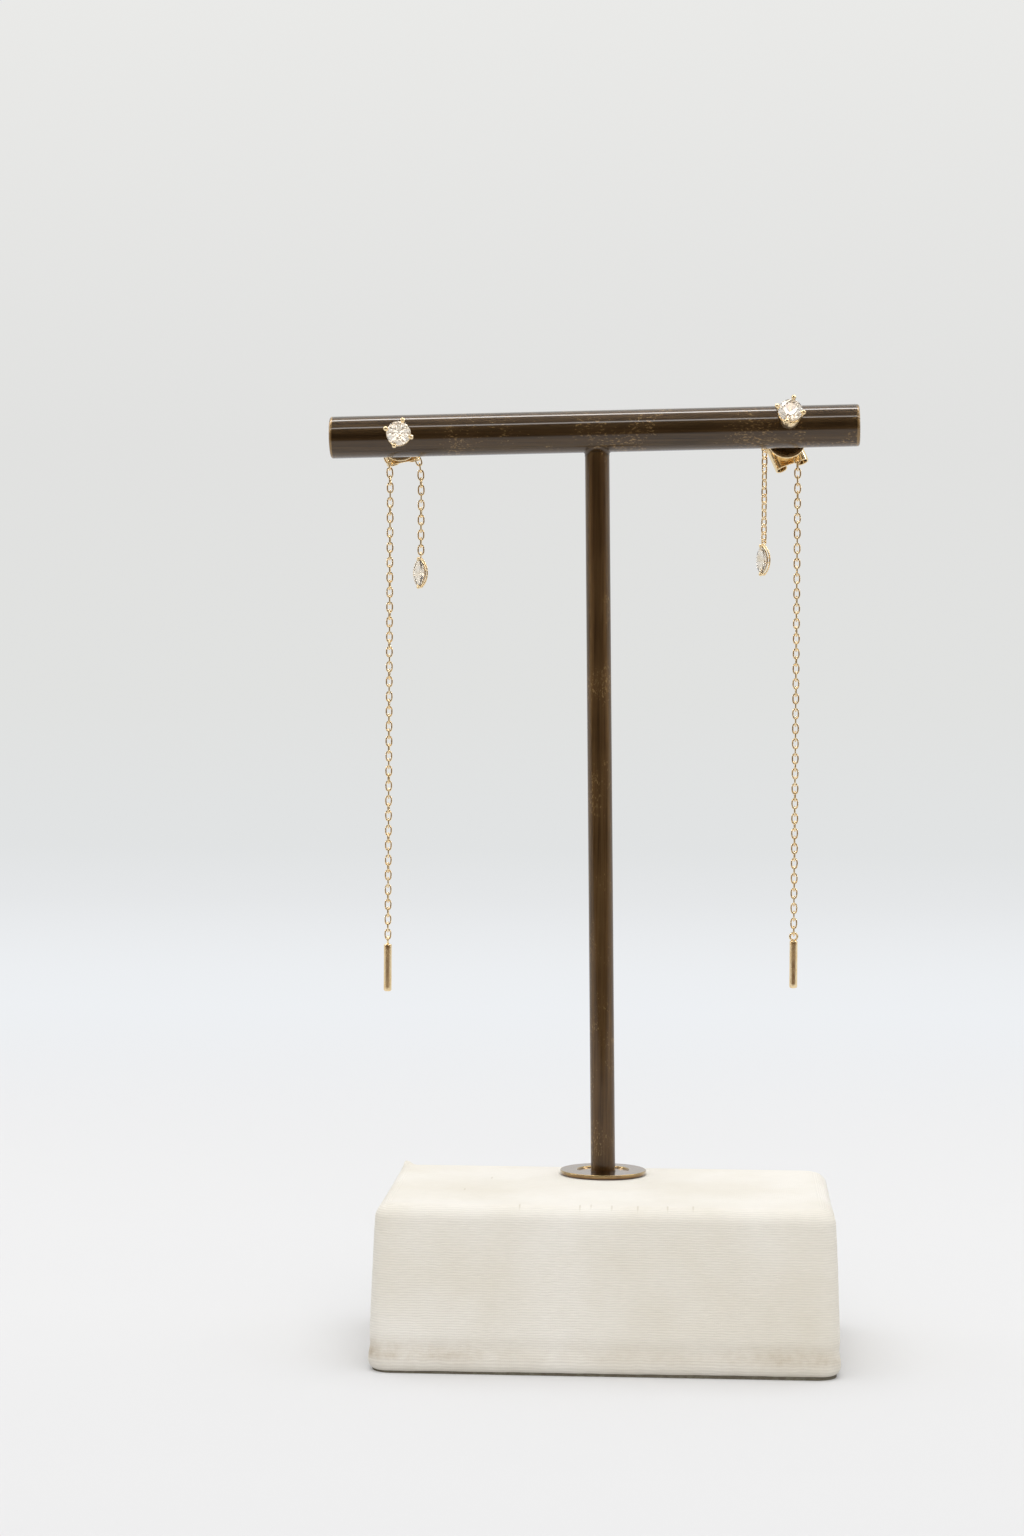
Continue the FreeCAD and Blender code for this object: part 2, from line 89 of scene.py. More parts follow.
class StandFinish(bpy.types.PropertyGroup):
    """Finish of the base, the post and the bar."""
    cloth: colour("Cloth", "Colour of the cloth on the base", (0.838, 0.806, 0.742))
    stain: colour("Stain", "Colour of the marks along the foot", (0.43, 0.35, 0.25))
    rib_pitch: length("Rib pitch", "Distance between the cloth's ribs", 0.30)
    rib_depth: length("Rib depth", "Height of the cloth's ribs", 0.035)
    pad: colour("Pad", "Colour of the pad under the base", (0.12, 0.105, 0.075))
    brass: colour("Brass", "Colour of the aged brass", (0.105, 0.056, 0.022))
    # Colour of the rubbed specks, and of the bar's ends, where it is also a painted highlight.
    rubbed_and_highlight: colour("Rubbed brass", "Colour where the brass is rubbed bright", (0.29, 0.185, 0.078))
    brass_roughness: number("Brass roughness", "Roughness of the aged brass", 0.42,
                             subtype="FACTOR")


class JewelFinish(bpy.types.PropertyGroup):
    """Finish and sizes of the earrings."""
    gold: colour("Gold", "Colour of the gold", (0.92, 0.745, 0.47))
    gold_roughness: number("Gold roughness", "Roughness of the polished gold", 0.13,
                            subtype="FACTOR")
    stone: colour("Stone", "Colour of the stones", (0.985, 0.945, 0.875))
    stone_ior: number("Stone IOR", "Refraction of the stones", 1.75, 1.0, 3.0)
    link_wire: length("Link wire", "Radius of the wire of a link", 0.1)
    claw_wire: length("Claw wire", "Radius of a claw of the stud", 0.22)
    claw_bead: length("Claw bead", "Radius of the bead on a claw", 0.3)
    claw_turn_left: turning("Left claws", "Turn of the left claws", 72)
    claw_turn_right: turning("Right claws", "Turn of the right claws", 75)
    nut_turn_left: turning("Left nut", "Turn of the left nut", 12)
    nut_turn_right: turning("Right nut", "Turn of the right nut", 22)


class StudioSettings(bpy.types.PropertyGroup):
    """Camera and light."""
    lens: number("Lens", "Focal length for a 36 mm tall frame", 77.34, 10.0, 300.0)
    place: bpy.props.FloatVectorProperty(name="Camera", description="Where the camera stands",
                                         default=(0.010967, -0.401645, 0.08257),
                                         subtype="TRANSLATION", unit="LENGTH")
    heading: turning("Heading", "Turn of the camera to the left", 3.29)
    dip: turning("Dip", "Tilt of the camera downwards", 1.67)
    roll: turning("Roll", "Roll of the camera", 0.37)
    softbox: number("Softbox", "Power of the light overhead", 3.8, 0.0, 100.0,
                     subtype="POWER", unit="POWER")
    fill: number("Fill", "Power of the light in front", 4.0, 0.0, 100.0,
                  subtype="POWER", unit="POWER")
    floor: colour("Floor", "Colour of the floor", (0.705, 0.705, 0.71))


# Meshes

def arc(radius, start, end, steps, centre=(0.0, 0.0), skip=0):
    """Points on an arc between two angles in degrees, without its first ones."""
    angles = [math.radians(start + (end - start) * k / steps) for k in range(skip, steps + 1)]
    return [(centre[0] + radius * math.cos(a), centre[1] + radius * math.sin(a)) for a in angles]


def around(steps):
    """Directions round a full circle, in the XY plane."""
    turns = [2 * math.pi * k / steps for k in range(steps)]
    return [Vector((math.cos(turn), math.sin(turn), 0)) for turn in turns]


def rings(profile, steps):
    """Rows of points round Z from (radius, height) pairs."""
    return [[ray * radius + Vector((0, 0, height)) for ray in around(steps)]
            for radius, height in profile]


class Shape:
    """Points and faces of one piece, gathered part by part."""

    def __init__(self):
        self.points = []
        self.faces = []

    def add(self, points, faces, place=None):
        """Adds a part, moved by a matrix."""
        base = len(self.points)
        self.points += [place @ Vector(p) if place else Vector(p) for p in points]
        self.faces += [[base + corner for corner in face] for face in faces]

    def bands(self, rows, closed_rows=True, closed=False, place=None, caps=True):
        """Adds a skin between rows of points, with a face on each end that isn't closed."""
        count = len(rows[0])
        points = [p for row in rows for p in row]
        faces = []
        for row in range(len(rows) if closed else len(rows) - 1):
            start, following = row * count, (row + 1) % len(rows) * count
            for column in range(count if closed_rows else count - 1):
                after = (column + 1) % count
                faces.append([start + column, start + after, following + after,
                              following + column])
        if caps and not closed:
            faces.append(list(range(count))[::-1])
            faces.append([len(points) - count + k for k in range(count)])
        self.add(points, faces, place)

    def turned(self, profile, steps=48, place=None):
        """Adds a solid turned about Z from (radius, height) pairs, from its foot to its top."""
        points = []
        faces = []
        levels = []
        for radius, height in profile:
            if radius < 1e-9:
                levels.append([len(points)] * steps)
                points.append((0, 0, height))
            else:
                levels.append([len(points) + k for k in range(steps)])
                points += rings([(radius, height)], steps)[0]
        for lower, upper in zip(levels, levels[1:]):
            for k in range(steps):
                after = (k + 1) % steps
                face = list(dict.fromkeys([lower[k], lower[after], upper[after], upper[k]]))
                if len(face) > 2:
                    faces.append(face)
        self.add(points, faces, place)

    def ball(self, centre, radius, place=None, steps=20):
        """Adds a ball."""
        half = steps // 2
        profile = [(radius * math.sin(math.pi * k / half), -radius * math.cos(math.pi * k / half))
                   for k in range(half + 1)]
        profile[0], profile[-1] = (0, -radius), (0, radius)
        shift = Matrix.Translation(Vector(centre))
        self.turned(profile, steps, place @ shift if place else shift)

    def wire(self, path, radius, sides=14, closed=False, place=None):
        """Adds a round wire along points. The radius is one number or one for each point."""
        path = [Vector(p) for p in path]
        count = len(path)
        radii = radius if isinstance(radius, (list, tuple)) else [radius] * count
        rows = []
        normal = None
        for k, (point, size) in enumerate(zip(path, radii)):
            before = path[k - 1] if closed or k else path[0]
            after = path[(k + 1) % count] if closed or k < count - 1 else path[-1]
            tangent = (after - before).normalized()
            if normal is None:
                normal = tangent.orthogonal().normalized()
            normal = (normal - tangent * normal.dot(tangent)).normalized()
            across = tangent.cross(normal)
            rows.append([point + normal * (size * ray.x) + across * (size * ray.y)
                         for ray in around(sides)])
        self.bands(self.aligned(rows) if closed else rows, closed=closed, place=place)

    @staticmethod
    def aligned(rows):
        """Turns the last rows of a closed wire little by little, so that its ends meet."""
        first, last = rows[0], rows[-1]
        sides = len(first)

        def gap(shift):
            return sum((last[(k + shift) % sides] - first[k]).length for k in range(sides))

        shift = min(range(sides), key=gap)
        steps = [round(shift * index / (len(rows) - 1)) for index in range(len(rows))]
        return [[row[(k + step) % sides] for k in range(sides)] for row, step in zip(rows, steps)]

    def ring(self, centre, axis, radius, wire, place=None, steps=40, sides=14):
        """Adds a ring of round wire about an axis."""
        centre, axis = Vector(centre), Vector(axis).normalized()
        across = axis.orthogonal().normalized()
        other = axis.cross(across)
        rows = []
        for turn in around(steps):
            ray = across * turn.x + other * turn.y
            rows.append([centre + ray * (radius + wire * side.x) + axis * (wire * side.y)
                         for side in around(sides)])
        self.bands(rows, closed=True, place=place)

    def strip(self, path, half_width, thickness, place=None):
        """Adds a flat band of metal along points in the XZ plane, with eased edges."""
        ease = thickness * 0.3
        half = thickness / 2
        quarter = [(half, half_width - ease), (half - ease, half_width),
                   (ease - half, half_width), (-half, half_width - ease)]
        section = quarter + [(-across, -along) for across, along in quarter]
        path = [Vector(p) for p in path]
        rows = []
        for k, point in enumerate(path):
            tangent = (path[min(k + 1, len(path) - 1)] - path[max(k - 1, 0)]).normalized()
            side = Vector((tangent.z, 0, -tangent.x))
            rows.append([point + side * s + Vector((0, w, 0)) for s, w in section])
        self.bands(rows, place=place)

    def mesh(self, name):
        """The points and faces as a new mesh."""
        made = bpy.data.meshes.new(name)
        made.from_pydata([tuple(p) for p in self.points], [], self.faces)
        return made


def finished(name, shape, material, nodes, flat=False):
    """Turns a shape into a piece that stands for its nodes and rides on the body."""
    mesh = shape.mesh(name)
    tidy_mesh(mesh)
    return finished_mesh(name, mesh, material, nodes, flat)


def tidy_mesh(mesh):
    """Merges double points and turns every face outwards."""
    work = bmesh.new()
    work.from_mesh(mesh)
    bmesh.ops.remove_doubles(work, verts=work.verts, dist=0.0001 * MM)
    bmesh.ops.recalc_face_normals(work, faces=work.faces)
    work.to_mesh(mesh)
    work.free()


def finished_mesh(name, mesh, material, nodes, flat=False):
    mesh.validate()
    piece = bpy.data.objects.new(name, mesh)
    bpy.context.scene.collection.objects.link(piece)
    if not mesh.materials:
        mesh.materials.append(material)
    if flat:
        mesh.shade_flat()
    else:
        mesh.shade_smooth()
        mesh.set_sharp_from_angle(angle=SMOOTH_ANGLE)
    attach(piece, BODY)
    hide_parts(*nodes)
    return piece


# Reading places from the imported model

def node_points(name):
    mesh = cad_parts[name].data
    points = np.zeros(len(mesh.vertices) * 3)
    mesh.vertices.foreach_get("co", points)
    return points.reshape(-1, 3)


def rod_ends(name, axis):
    """Centres of a straight rod's two end faces, the lower one along an axis first."""
    points = node_points(name)
    along = points[:, axis]
    reach = (along.max() - along.min()) * 0.02
    groups = [points[along < along.min() + reach], points[along > along.max() - reach]]
    return [Vector((group.min(0) + group.max(0)) / 2) for group in groups]


def gem_frame(name):
    """Matrix of a stone's own axes at its girdle, with its table up along Z, and its sizes."""
    areas = {}
    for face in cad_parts[name].data.polygons:
        key = tuple(round(value, 2) for value in face.normal)
        found = areas.setdefault(key, [0.0, Vector()])
        found[0] += face.area
        found[1] += face.normal * face.area
    out = max(areas.values(), key=lambda item: item[0])[1].normalized()
    points = [Vector(p) for p in node_points(name)]
    heights = [p.dot(out) for p in points]
    top, foot = max(heights), min(heights)
    table = [p for p, height in zip(points, heights) if height > top - 0.001 * MM]
    axis_point = sum(table, Vector()) / len(table)
    spreads = [(p - axis_point - out * (p - axis_point).dot(out)).length for p in points]
    rim = [height for height, spread in zip(heights, spreads) if spread > max(spreads) * 0.999]
    girdle = (max(rim) + min(rim)) / 2
    right = Vector((0, 0, 1)).cross(out).normalized()
    turn = Matrix((right, out.cross(right), out)).transposed().to_4x4()
    place = Matrix.Translation(axis_point - out * (top - girdle)) @ turn
    return place, {"radius": max(spreads), "crown": top - girdle, "pavilion": girdle - foot}


def chain_links(name):
    """Each link's centre, long axis, width axis and half sizes, from the top link down."""
    work = bmesh.new()
    work.from_mesh(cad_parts[name].data)
    bmesh.ops.remove_doubles(work, verts=work.verts, dist=0.002 * MM)
    seen = set()
    links = []
    for start in work.verts:
        if start in seen:
            continue
        island = []
        waiting = [start]
        seen.add(start)
        while waiting:
            vertex = waiting.pop()
            island.append(tuple(vertex.co))
            for edge in vertex.link_edges:
                other = edge.other_vert(vertex)
                if other not in seen:
                    seen.add(other)
                    waiting.append(other)
        points = np.array(island)
        centre = points.mean(0)
        axes = np.linalg.svd(points - centre)[2]
        halves = np.abs((points - centre) @ axes.T).max(0)
        long = Vector(axes[0])
        links.append({"centre": Vector(centre), "long": long if long.z > 0 else -long,
                      "wide": Vector(axes[1]), "half": float(halves[0]),
                      "half_width": float(halves[1])})
    work.free()
    return sorted(links, key=lambda link: -link["centre"].z)


# Shader helpers

def connect(tree, made, inputs):
    """Gives a node's inputs values or links."""
    for key, value in inputs.items():
        if isinstance(value, bpy.types.NodeSocket):
            tree.links.new(value, made.inputs[key])
        else:
            made.inputs[key].default_value = value


def node(tree, kind, inputs=None, **settings):
    """Adds a node, sets its options, and gives its inputs values or links."""
    made = tree.nodes.new(kind)
    for key, value in settings.items():
        setattr(made, key, value)
    connect(tree, made, inputs or {})
    return made


def maths(tree, operation, first, second=0.0, clamp=False):
    return node(tree, "ShaderNodeMath", {0: first, 1: second}, operation=operation,
                use_clamp=clamp).outputs[0]


def times(tree, *values):
    """Product of two or more values."""
    total = values[0]
    for value in values[1:]:
        total = maths(tree, "MULTIPLY", total, value)
    return total


def vector_maths(tree, operation, first, second):
    return node(tree, "ShaderNodeVectorMath", {0: first, 1: second}, operation=operation).outputs[0]


def split(tree, vector):
    """The X, Y and Z of a vector."""
    return node(tree, "ShaderNodeSeparateXYZ", {0: vector}).outputs


def noise_at(tree, vector, scale, detail=2.0, roughness=0.5):
    return node(tree, "ShaderNodeTexNoise", {"Vector": vector, "Scale": scale, "Detail": detail,
                                             "Roughness": roughness}).outputs[0]


def span(tree, value, start, end, low=0.0, high=1.0, soft=False):
    """Turns a span of values into another span."""
    return node(tree, "ShaderNodeMapRange", {0: value, 1: start, 2: end, 3: low, 4: high},
                interpolation_type="SMOOTHSTEP" if soft else "LINEAR").outputs[0]


def bump(tree, height, strength, distance):
    return node(tree, "ShaderNodeBump", {"Height": height, "Strength": strength,
                                         "Distance": distance}).outputs[0]


def ramp(tree, value, stops):
    """Colour ramp from (place, grey or colour) pairs."""
    made = node(tree, "ShaderNodeValToRGB", {0: value})
    elements = made.color_ramp.elements
    while len(elements) < len(stops):
        elements.new(0.5)
    for element, (place, tone) in zip(elements, stops):
        element.position = place
        element.color = (tone, tone, tone, 1) if isinstance(tone, float) else (*tone, 1)
    return made.outputs[0]


def mix_number(tree, share, first, second):
    return node(tree, "ShaderNodeMix", {0: share, 2: first, 3: second}).outputs[0]


def mix_colour(tree, share, first, second, blend="MIX"):
    pair = [tone if isinstance(tone, bpy.types.NodeSocket) else (*tone, 1)
            for tone in (first, second)]
    return node(tree, "ShaderNodeMix", data_type="RGBA", blend_type=blend,
                inputs={0: share, 6: pair[0], 7: pair[1]}).outputs[2]


def scaled(tone, shares):
    """A colour times one share, or times one for each channel."""
    shares = shares if isinstance(shares, tuple) else (shares,) * 3
    return tuple(value * part for value, part in zip(tone, shares))


def effect_group(name, inputs, outputs):
    """A new shader group with named sockets. Returns its tree, input node and output node."""
    tree = bpy.data.node_groups.new(name, "ShaderNodeTree")
    for title, kind, default in inputs:
        socket = tree.interface.new_socket(title, in_out="INPUT", socket_type=kind)
        if default is not None:
            socket.default_value = default
    for title, kind in outputs:
        tree.interface.new_socket(title, in_out="OUTPUT", socket_type=kind)
    return tree, tree.nodes.new("NodeGroupInput").outputs, tree.nodes.new("NodeGroupOutput")


def use_group(tree, name, inputs):
    made = tree.nodes.new("ShaderNodeGroup")
    made.node_tree = bpy.data.node_groups[name]
    connect(tree, made, inputs)
    return made.outputs


def new_material(name):
    """A material with its shader and the object's own coordinates."""
    material = bpy.data.materials.new(name)
    material.use_nodes = True
    tree = material.node_tree
    place = tree.nodes.new("ShaderNodeTexCoord").outputs["Object"]
    return material, tree, tree.nodes["Principled BSDF"], place


def streaks_group():
    """Fine drawn lines along one axis, with rubbed specks."""
    tree, given, result = effect_group(
        "drawn metal",
        [("Vector", "NodeSocketVector", None), ("Stretch", "NodeSocketVector", (1, 1, 1)),
         ("Speck stretch", "NodeSocketVector", (4800, 4800, 4800)),
         ("Speck share", "NodeSocketFloat", 0.35)],
        [("Lines", "NodeSocketFloat"), ("Specks", "NodeSocketFloat"),
         ("Cloud", "NodeSocketFloat"), ("Normal", "NodeSocketVector")])
    place = given["Vector"]
    lines = noise_at(tree, vector_maths(tree, "MULTIPLY", place, given["Stretch"]), 1.0, 6.0, 0.65)
    dots = noise_at(tree, vector_maths(tree, "MULTIPLY", place, given["Speck stretch"]),
                    1.0, 3.0, 0.7)
    cloud = noise_at(tree, place, 140.0, 3.0)
    dots = times(tree, dots, ramp(tree, cloud, [(0.35, 0.55), (0.62, 1.1)]))
    low = maths(tree, "SUBTRACT", 0.95, given["Speck share"])
    specks = span(tree, dots, low, maths(tree, "ADD", low, 0.1))
    connect(tree, result, {"Lines": lines, "Specks": specks, "Cloud": cloud,
                           "Normal": bump(tree, lines, 0.35, 0.02 * MM)})


def ribs_group():
    """Cloth with fine ribs along U, spaced along V, and thinner threads across them."""
    tree, given, result = effect_group(
        "ribbed cloth",
        [("Vector", "NodeSocketVector", None), ("Pitch", "NodeSocketFloat", 0.3 * MM),
         ("Depth", "NodeSocketFloat", 0.03 * MM)],
        [("Ribs", "NodeSocketFloat"), ("Fibres", "NodeSocketFloat"),
         ("Normal", "NodeSocketVector")])
    along, across, _ = split(tree, given["Vector"])
    shift = times(tree, noise_at(tree, given["Vector"], 600.0), 0.3 * MM)
    ribs = wave(tree, maths(tree, "DIVIDE", maths(tree, "ADD", across, shift), given["Pitch"]))
    threads = wave(tree, maths(tree, "DIVIDE", maths(tree, "ADD", along, shift),
                               times(tree, given["Pitch"], 0.72)))
    fibres = noise_at(tree, vector_maths(tree, "MULTIPLY", given["Vector"], (700, 9000, 1)), 1.0, 4.0)
    height = maths(tree, "ADD", times(tree, ribs, 0.62), times(tree, threads, 0.14))
    height = maths(tree, "ADD", height, times(tree, fibres, 0.45))
    connect(tree, result, {"Ribs": ribs, "Fibres": fibres,
                           "Normal": bump(tree, height, 0.8, given["Depth"])})


def wave(tree, turns):
    """Sine wave from 0 to 1 for a number of turns."""
    height = maths(tree, "SINE", times(tree, turns, 2 * math.pi))
    return maths(tree, "ADD", times(tree, height, 0.5), 0.5)


def polish_group():
    """Soft wear and hairlines of hand-polished gold."""
    tree, given, result = effect_group(
        "hand polish", [("Vector", "NodeSocketVector", None)],
        [("Wear", "NodeSocketFloat"), ("Normal", "NodeSocketVector")])
    fine = noise_at(tree, given["Vector"], 4200.0, 5.0, 0.6)
    broad = noise_at(tree, given["Vector"], 900.0)
    connect(tree, result, {"Wear": broad, "Normal": bump(
        tree, maths(tree, "ADD", fine, broad), 0.1, 0.012 * MM)})


OLIVE = (1.5, 1.65, 1.7)
# Band at each end of the bar in the rubbed colour: worn brass and a painted highlight on the eased
# ends.
END_WEAR_AND_HIGHLIGHT = (0.42 * MM, 0.3 * MM)


def brass_material(name, stretch, dots, finish, tone_share=1.0, lacquer=0.6, end_x=None):
    """Dark aged brass with drawn lines, rubbed specks and, on the bar, ends in a rubbed colour that
    is wear and a painted highlight.
    """
    material, tree, shader, place = new_material(name)
    group = use_group(tree, "drawn metal", {"Vector": place, "Stretch": stretch,
                                            "Speck stretch": dots})
    dark = scaled(finish.brass, 0.5 * tone_share)
    olive = scaled(scaled(finish.brass, OLIVE), tone_share)
    tone = mix_colour(tree, ramp(tree, group["Lines"], [(0.32, 0.0), (0.7, 1.0)]), dark, olive)
    tone = mix_colour(tree, ramp(tree, group["Cloud"], [(0.4, 0.0), (0.75, 0.5)]), tone, olive)
    tone = mix_colour(tree, group["Specks"], tone, finish.rubbed_and_highlight)
    # Painted highlight, together with wear, on the eased ends of the bar.
    if end_x:
        x = split(tree, place)[0]
        low = span(tree, x, *(end_x[0] + step for step in END_WEAR_AND_HIGHLIGHT))
        high = span(tree, x, *(end_x[1] - step for step in END_WEAR_AND_HIGHLIGHT))
        tone = mix_colour(tree, maths(tree, "MAXIMUM", low, high), tone, finish.rubbed_and_highlight)
    rough = span(tree, group["Cloud"], 0.3, 0.75, finish.brass_roughness,
                 finish.brass_roughness + 0.16)
    connect(tree, shader, {"Base Color": tone, "Normal": group["Normal"], "Roughness": rough,
                           "Metallic": 1.0})
    add_lacquer(tree, shader, lacquer)
    return material


def add_lacquer(tree, shader, weight):
    """Thin clear lacquer over the aged brass."""
    connect(tree, shader, {"Coat Weight": weight, "Coat Roughness": 0.06, "Coat IOR": 1.5})


def washer_material(finish):
    """The same brass, polished, with a painted highlight along the top edges of its rims."""
    material, tree, shader, place = new_material("washer brass")
    group = use_group(tree, "drawn metal", {"Vector": place, "Stretch": (900, 900, 900)})
    # Painted highlight: the top edges of the outer rim and of the recess, marked by the rim
    # attribute, get a bright gold colour.
    rim = node(tree, "ShaderNodeAttribute", attribute_name="rim").outputs["Fac"]
    edge = times(tree, rim, ramp(tree, group["Lines"], [(0.3, 0.35), (0.6, 1.0)]))
    base = mix_colour(tree, group["Lines"], scaled(finish.brass, 1.4), scaled(finish.brass, 2.6))
    tone = mix_colour(tree, edge, base, (0.44, 0.32, 0.14))
    connect(tree, shader, {"Base Color": tone, "Normal": group["Normal"], "Metallic": 1.0,
                           "Roughness": 0.2})
    add_lacquer(tree, shader, 0.6)
    return material


def gold_material(jewel):
    """Polished pale gold with soft wear."""
    material, tree, shader, place = new_material("polished gold")
    group = use_group(tree, "hand polish", {"Vector": place})
    tone = mix_colour(tree, ramp(tree, group["Wear"], [(0.35, 0.0), (0.7, 1.0)]),
                      jewel.gold, scaled(jewel.gold, (0.93, 0.86, 0.74)))
    rough = span(tree, group["Wear"], 0.3, 0.75, jewel.gold_roughness, jewel.gold_roughness + 0.14)
    connect(tree, shader, {"Base Color": tone, "Normal": group["Normal"], "Roughness": rough,
                           "Metallic": 1.0})
    return material


def stone_material(jewel):
    """Clear stone with a faint champagne tone and a trace of haze."""
    material, tree, shader, place = new_material("clear stone")
    cloud = ramp(tree, noise_at(tree, place, 1500.0, 3.0), [(0.4, 0.0), (0.65, 1.0)])
    tone = mix_colour(tree, cloud, jewel.stone, scaled(jewel.stone, (0.95, 0.87, 0.75)))
    connect(tree, shader, {"Base Color": tone, "Metallic": 0.0, "Roughness": 0.0,
                           "IOR": jewel.stone_ior, "Transmission Weight": 0.9})
    return material


# Base

FOOT_STAIN_HEIGHT = 5.0 * MM
# Places of small pricks on the top, in mm, and the colour of the painted shade in them.
PUCKERS = [(-10.0, -15.2), (-2.9, -15.3), (-1.6, -14.9), (0.85, -15.2), (3.9, -15.3), (7.4, -15.2),
           (10.4, -15.1), (-14.6, 5.5), (-17.3, -4.0)]
PUCKER_SCALE = (1 / (0.15 * MM), 1 / (1.1 * MM), 650)
PUCKER_SHADE_TONE = (0.34, 0.28, 0.15)
TOP_STEPS = (0.02, 0.05, 0.09, 0.14, 0.2, 0.28, 0.37, 0.47, 0.58, 0.7, 0.82, 0.93)
WALL_ROWS = 30
CORNER_STEPS = 10


def cloth_material(finish):
    """Cream ribbed cloth, darker where it is handled and stained along its foot, with painted shade
    in its rib grooves and in small pricks on the top.
    """
    material, tree, shader, place = new_material("cream cloth")
    weave = node(tree, "ShaderNodeUVMap", uv_map="weave").outputs[0]
    group = use_group(tree, "ribbed cloth", {"Vector": weave, "Pitch": finish.rib_pitch,
                                             "Depth": finish.rib_depth})
    handled = ramp(tree, noise_at(tree, place, 60.0, 4.0), [(0.35, 0.0), (0.72, 1.0)])
    tone = mix_colour(tree, handled, finish.cloth, scaled(finish.cloth, (0.905, 0.884, 0.832)))
    # Painted shade: the cloth's colour is darkened in the grooves between the ribs, times the fibres'
    # own random tone.
    shade = times(tree, span(tree, group["Ribs"], 0.0, 1.0, 0.925, 1.0),
                  span(tree, group["Fibres"], 0.3, 0.7, 0.95, 1.02))
    rib_shade_and_fibre_tone = node(tree, "ShaderNodeCombineColor", {0: shade, 1: shade, 2: shade}).outputs[0]
    tone = mix_colour(tree, 1.0, tone, rib_shade_and_fibre_tone, "MULTIPLY")
    tone = mix_colour(tree, stain_mask(tree, place), tone, finish.stain)
    # Painted shade in the small pricks on the top.
    tone = mix_colour(tree, pucker_shade_mask(tree, place), tone, PUCKER_SHADE_TONE)
    connect(tree, shader, {"Base Color": tone, "Normal": group["Normal"], "Roughness": 0.92,
                           "Specular IOR Level": 0.2, "Sheen Weight": 0.12,
                           "Sheen Roughness": 0.5})
    return material


def stain_mask(tree, place):
    """Uneven brown band near the foot, darkest at the front corners."""
    x, _, z = split(tree, place)
    band = times(tree, span(tree, z, FOOT_STAIN_HEIGHT, 2.2 * MM, soft=True),
                 span(tree, z, 1.2 * MM, 2.2 * MM, 0.35, 1.0, soft=True))
    uneven = ramp(tree, noise_at(tree, place, 150.0, 6.0, 0.7), [(0.36, 0.12), (0.66, 0.86)])
    grain = ramp(tree, noise_at(tree, place, 1400.0, 3.0), [(0.3, 0.62), (0.65, 1.0)])
    end = span(tree, maths(tree, "ABSOLUTE", x), 12 * MM, 26 * MM, 0.34, 1.0)
    return maths(tree, "MULTIPLY", band, times(tree, uneven, grain, end), clamp=True)


def pucker_shade_mask(tree, place):
    """Painted shade of small pricks, in a row on the top."""
    total = 0.0
    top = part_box("base_block")[1].z
    for x, y in PUCKERS:
        near = vector_maths(tree, "SUBTRACT", place, (x * MM, y * MM, top))
        near = vector_maths(tree, "MULTIPLY", near, PUCKER_SCALE)
        away = node(tree, "ShaderNodeVectorMath", {0: near}, operation="LENGTH").outputs["Value"]
        total = maths(tree, "MAXIMUM", total, span(tree, away, 1.0, 0.4, 0.0, 0.26))
    return total


def cover_rows(low, high, steps):
    """Rows of points round the base from its underside to the middle of its top."""
    height = high.z - low.z
    corner, top_edge, foot_edge, inset = 2.6 * MM, 1.9 * MM, 0.9 * MM, 0.75 * MM
    half = Vector(((high.x - low.x) / 2, (high.y - low.y) / 2))
    wall = height - foot_edge - top_edge
    reach = half.y - inset - top_edge
    profile = [(part * foot_edge * 6, 0.0) for part in (1.0, 0.6, 0.35)]
    profile += arc(foot_edge, 270, 180, 6, (foot_edge, foot_edge))
    profile += [(inset * k / WALL_ROWS, foot_edge + wall * k / WALL_ROWS)
                for k in range(1, WALL_ROWS)]
    profile += arc(top_edge, 180, 90, 8, (inset + top_edge, height - top_edge))
    profile += [(inset + top_edge + reach * part, height) for part in TOP_STEPS]
    travel = [0.0]
    for start, end in zip(profile, profile[1:]):
        travel.append(travel[-1] + math.dist(start, end))
    rows = []
    for inward, z in profile:
        radius = min(max(corner - inward * 0.4, 0.6 * MM), half.y - inward) * 0.999
        outline = rounded_outline(half.x - inward, half.y - inward, radius, steps)
        rows.append([Vector((x, y, low.z + z)) for x, y in outline])
    return rows, travel


def rounded_outline(half_x, half_y, radius, steps):
    """Points round a rounded rectangle, the same number on each side and corner."""
    free = steps // 2 - 2 * CORNER_STEPS
    counts = (int(free * 0.6), free - int(free * 0.6))
    centres = [(right * (half_x - radius), back * (half_y - radius))
               for right, back in ((1, 1), (-1, 1), (-1, -1), (1, -1))]
    points = []
    for index, centre in enumerate(centres):
        *corner, first = arc(radius, 90 * index, 90 * index + 90, CORNER_STEPS, centre)
        beside = centres[(index + 1) % 4]
        count = counts[index % 2]
        points += corner
        points += [(first[0] + (beside[0] - centre[0]) * k / count,
                    first[1] + (beside[1] - centre[1]) * k / count) for k in range(count)]
    return points


def cloth_cover(finish):
    """The base's cloth cover, with soft faces, folded corners and the weave's UV map."""
    low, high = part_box("base_block")
    rows, travel = cover_rows(low, high, 400)
    shape = Shape()
    shape.bands([[point + cloth_shift(point, low, high) for point in row] for row in rows])
    mesh = shape.mesh("base_cover")
    lay_weave(mesh, [point for row in rows for point in row], travel, len(rows[0]), low, high)
    finished_mesh("base_cover", mesh, cloth_material(finish), ["base_block"])


def swell(away, width):
    """1 at a place, falling softly to 0 about a width away."""
    return math.exp(-(away / width) ** 2)


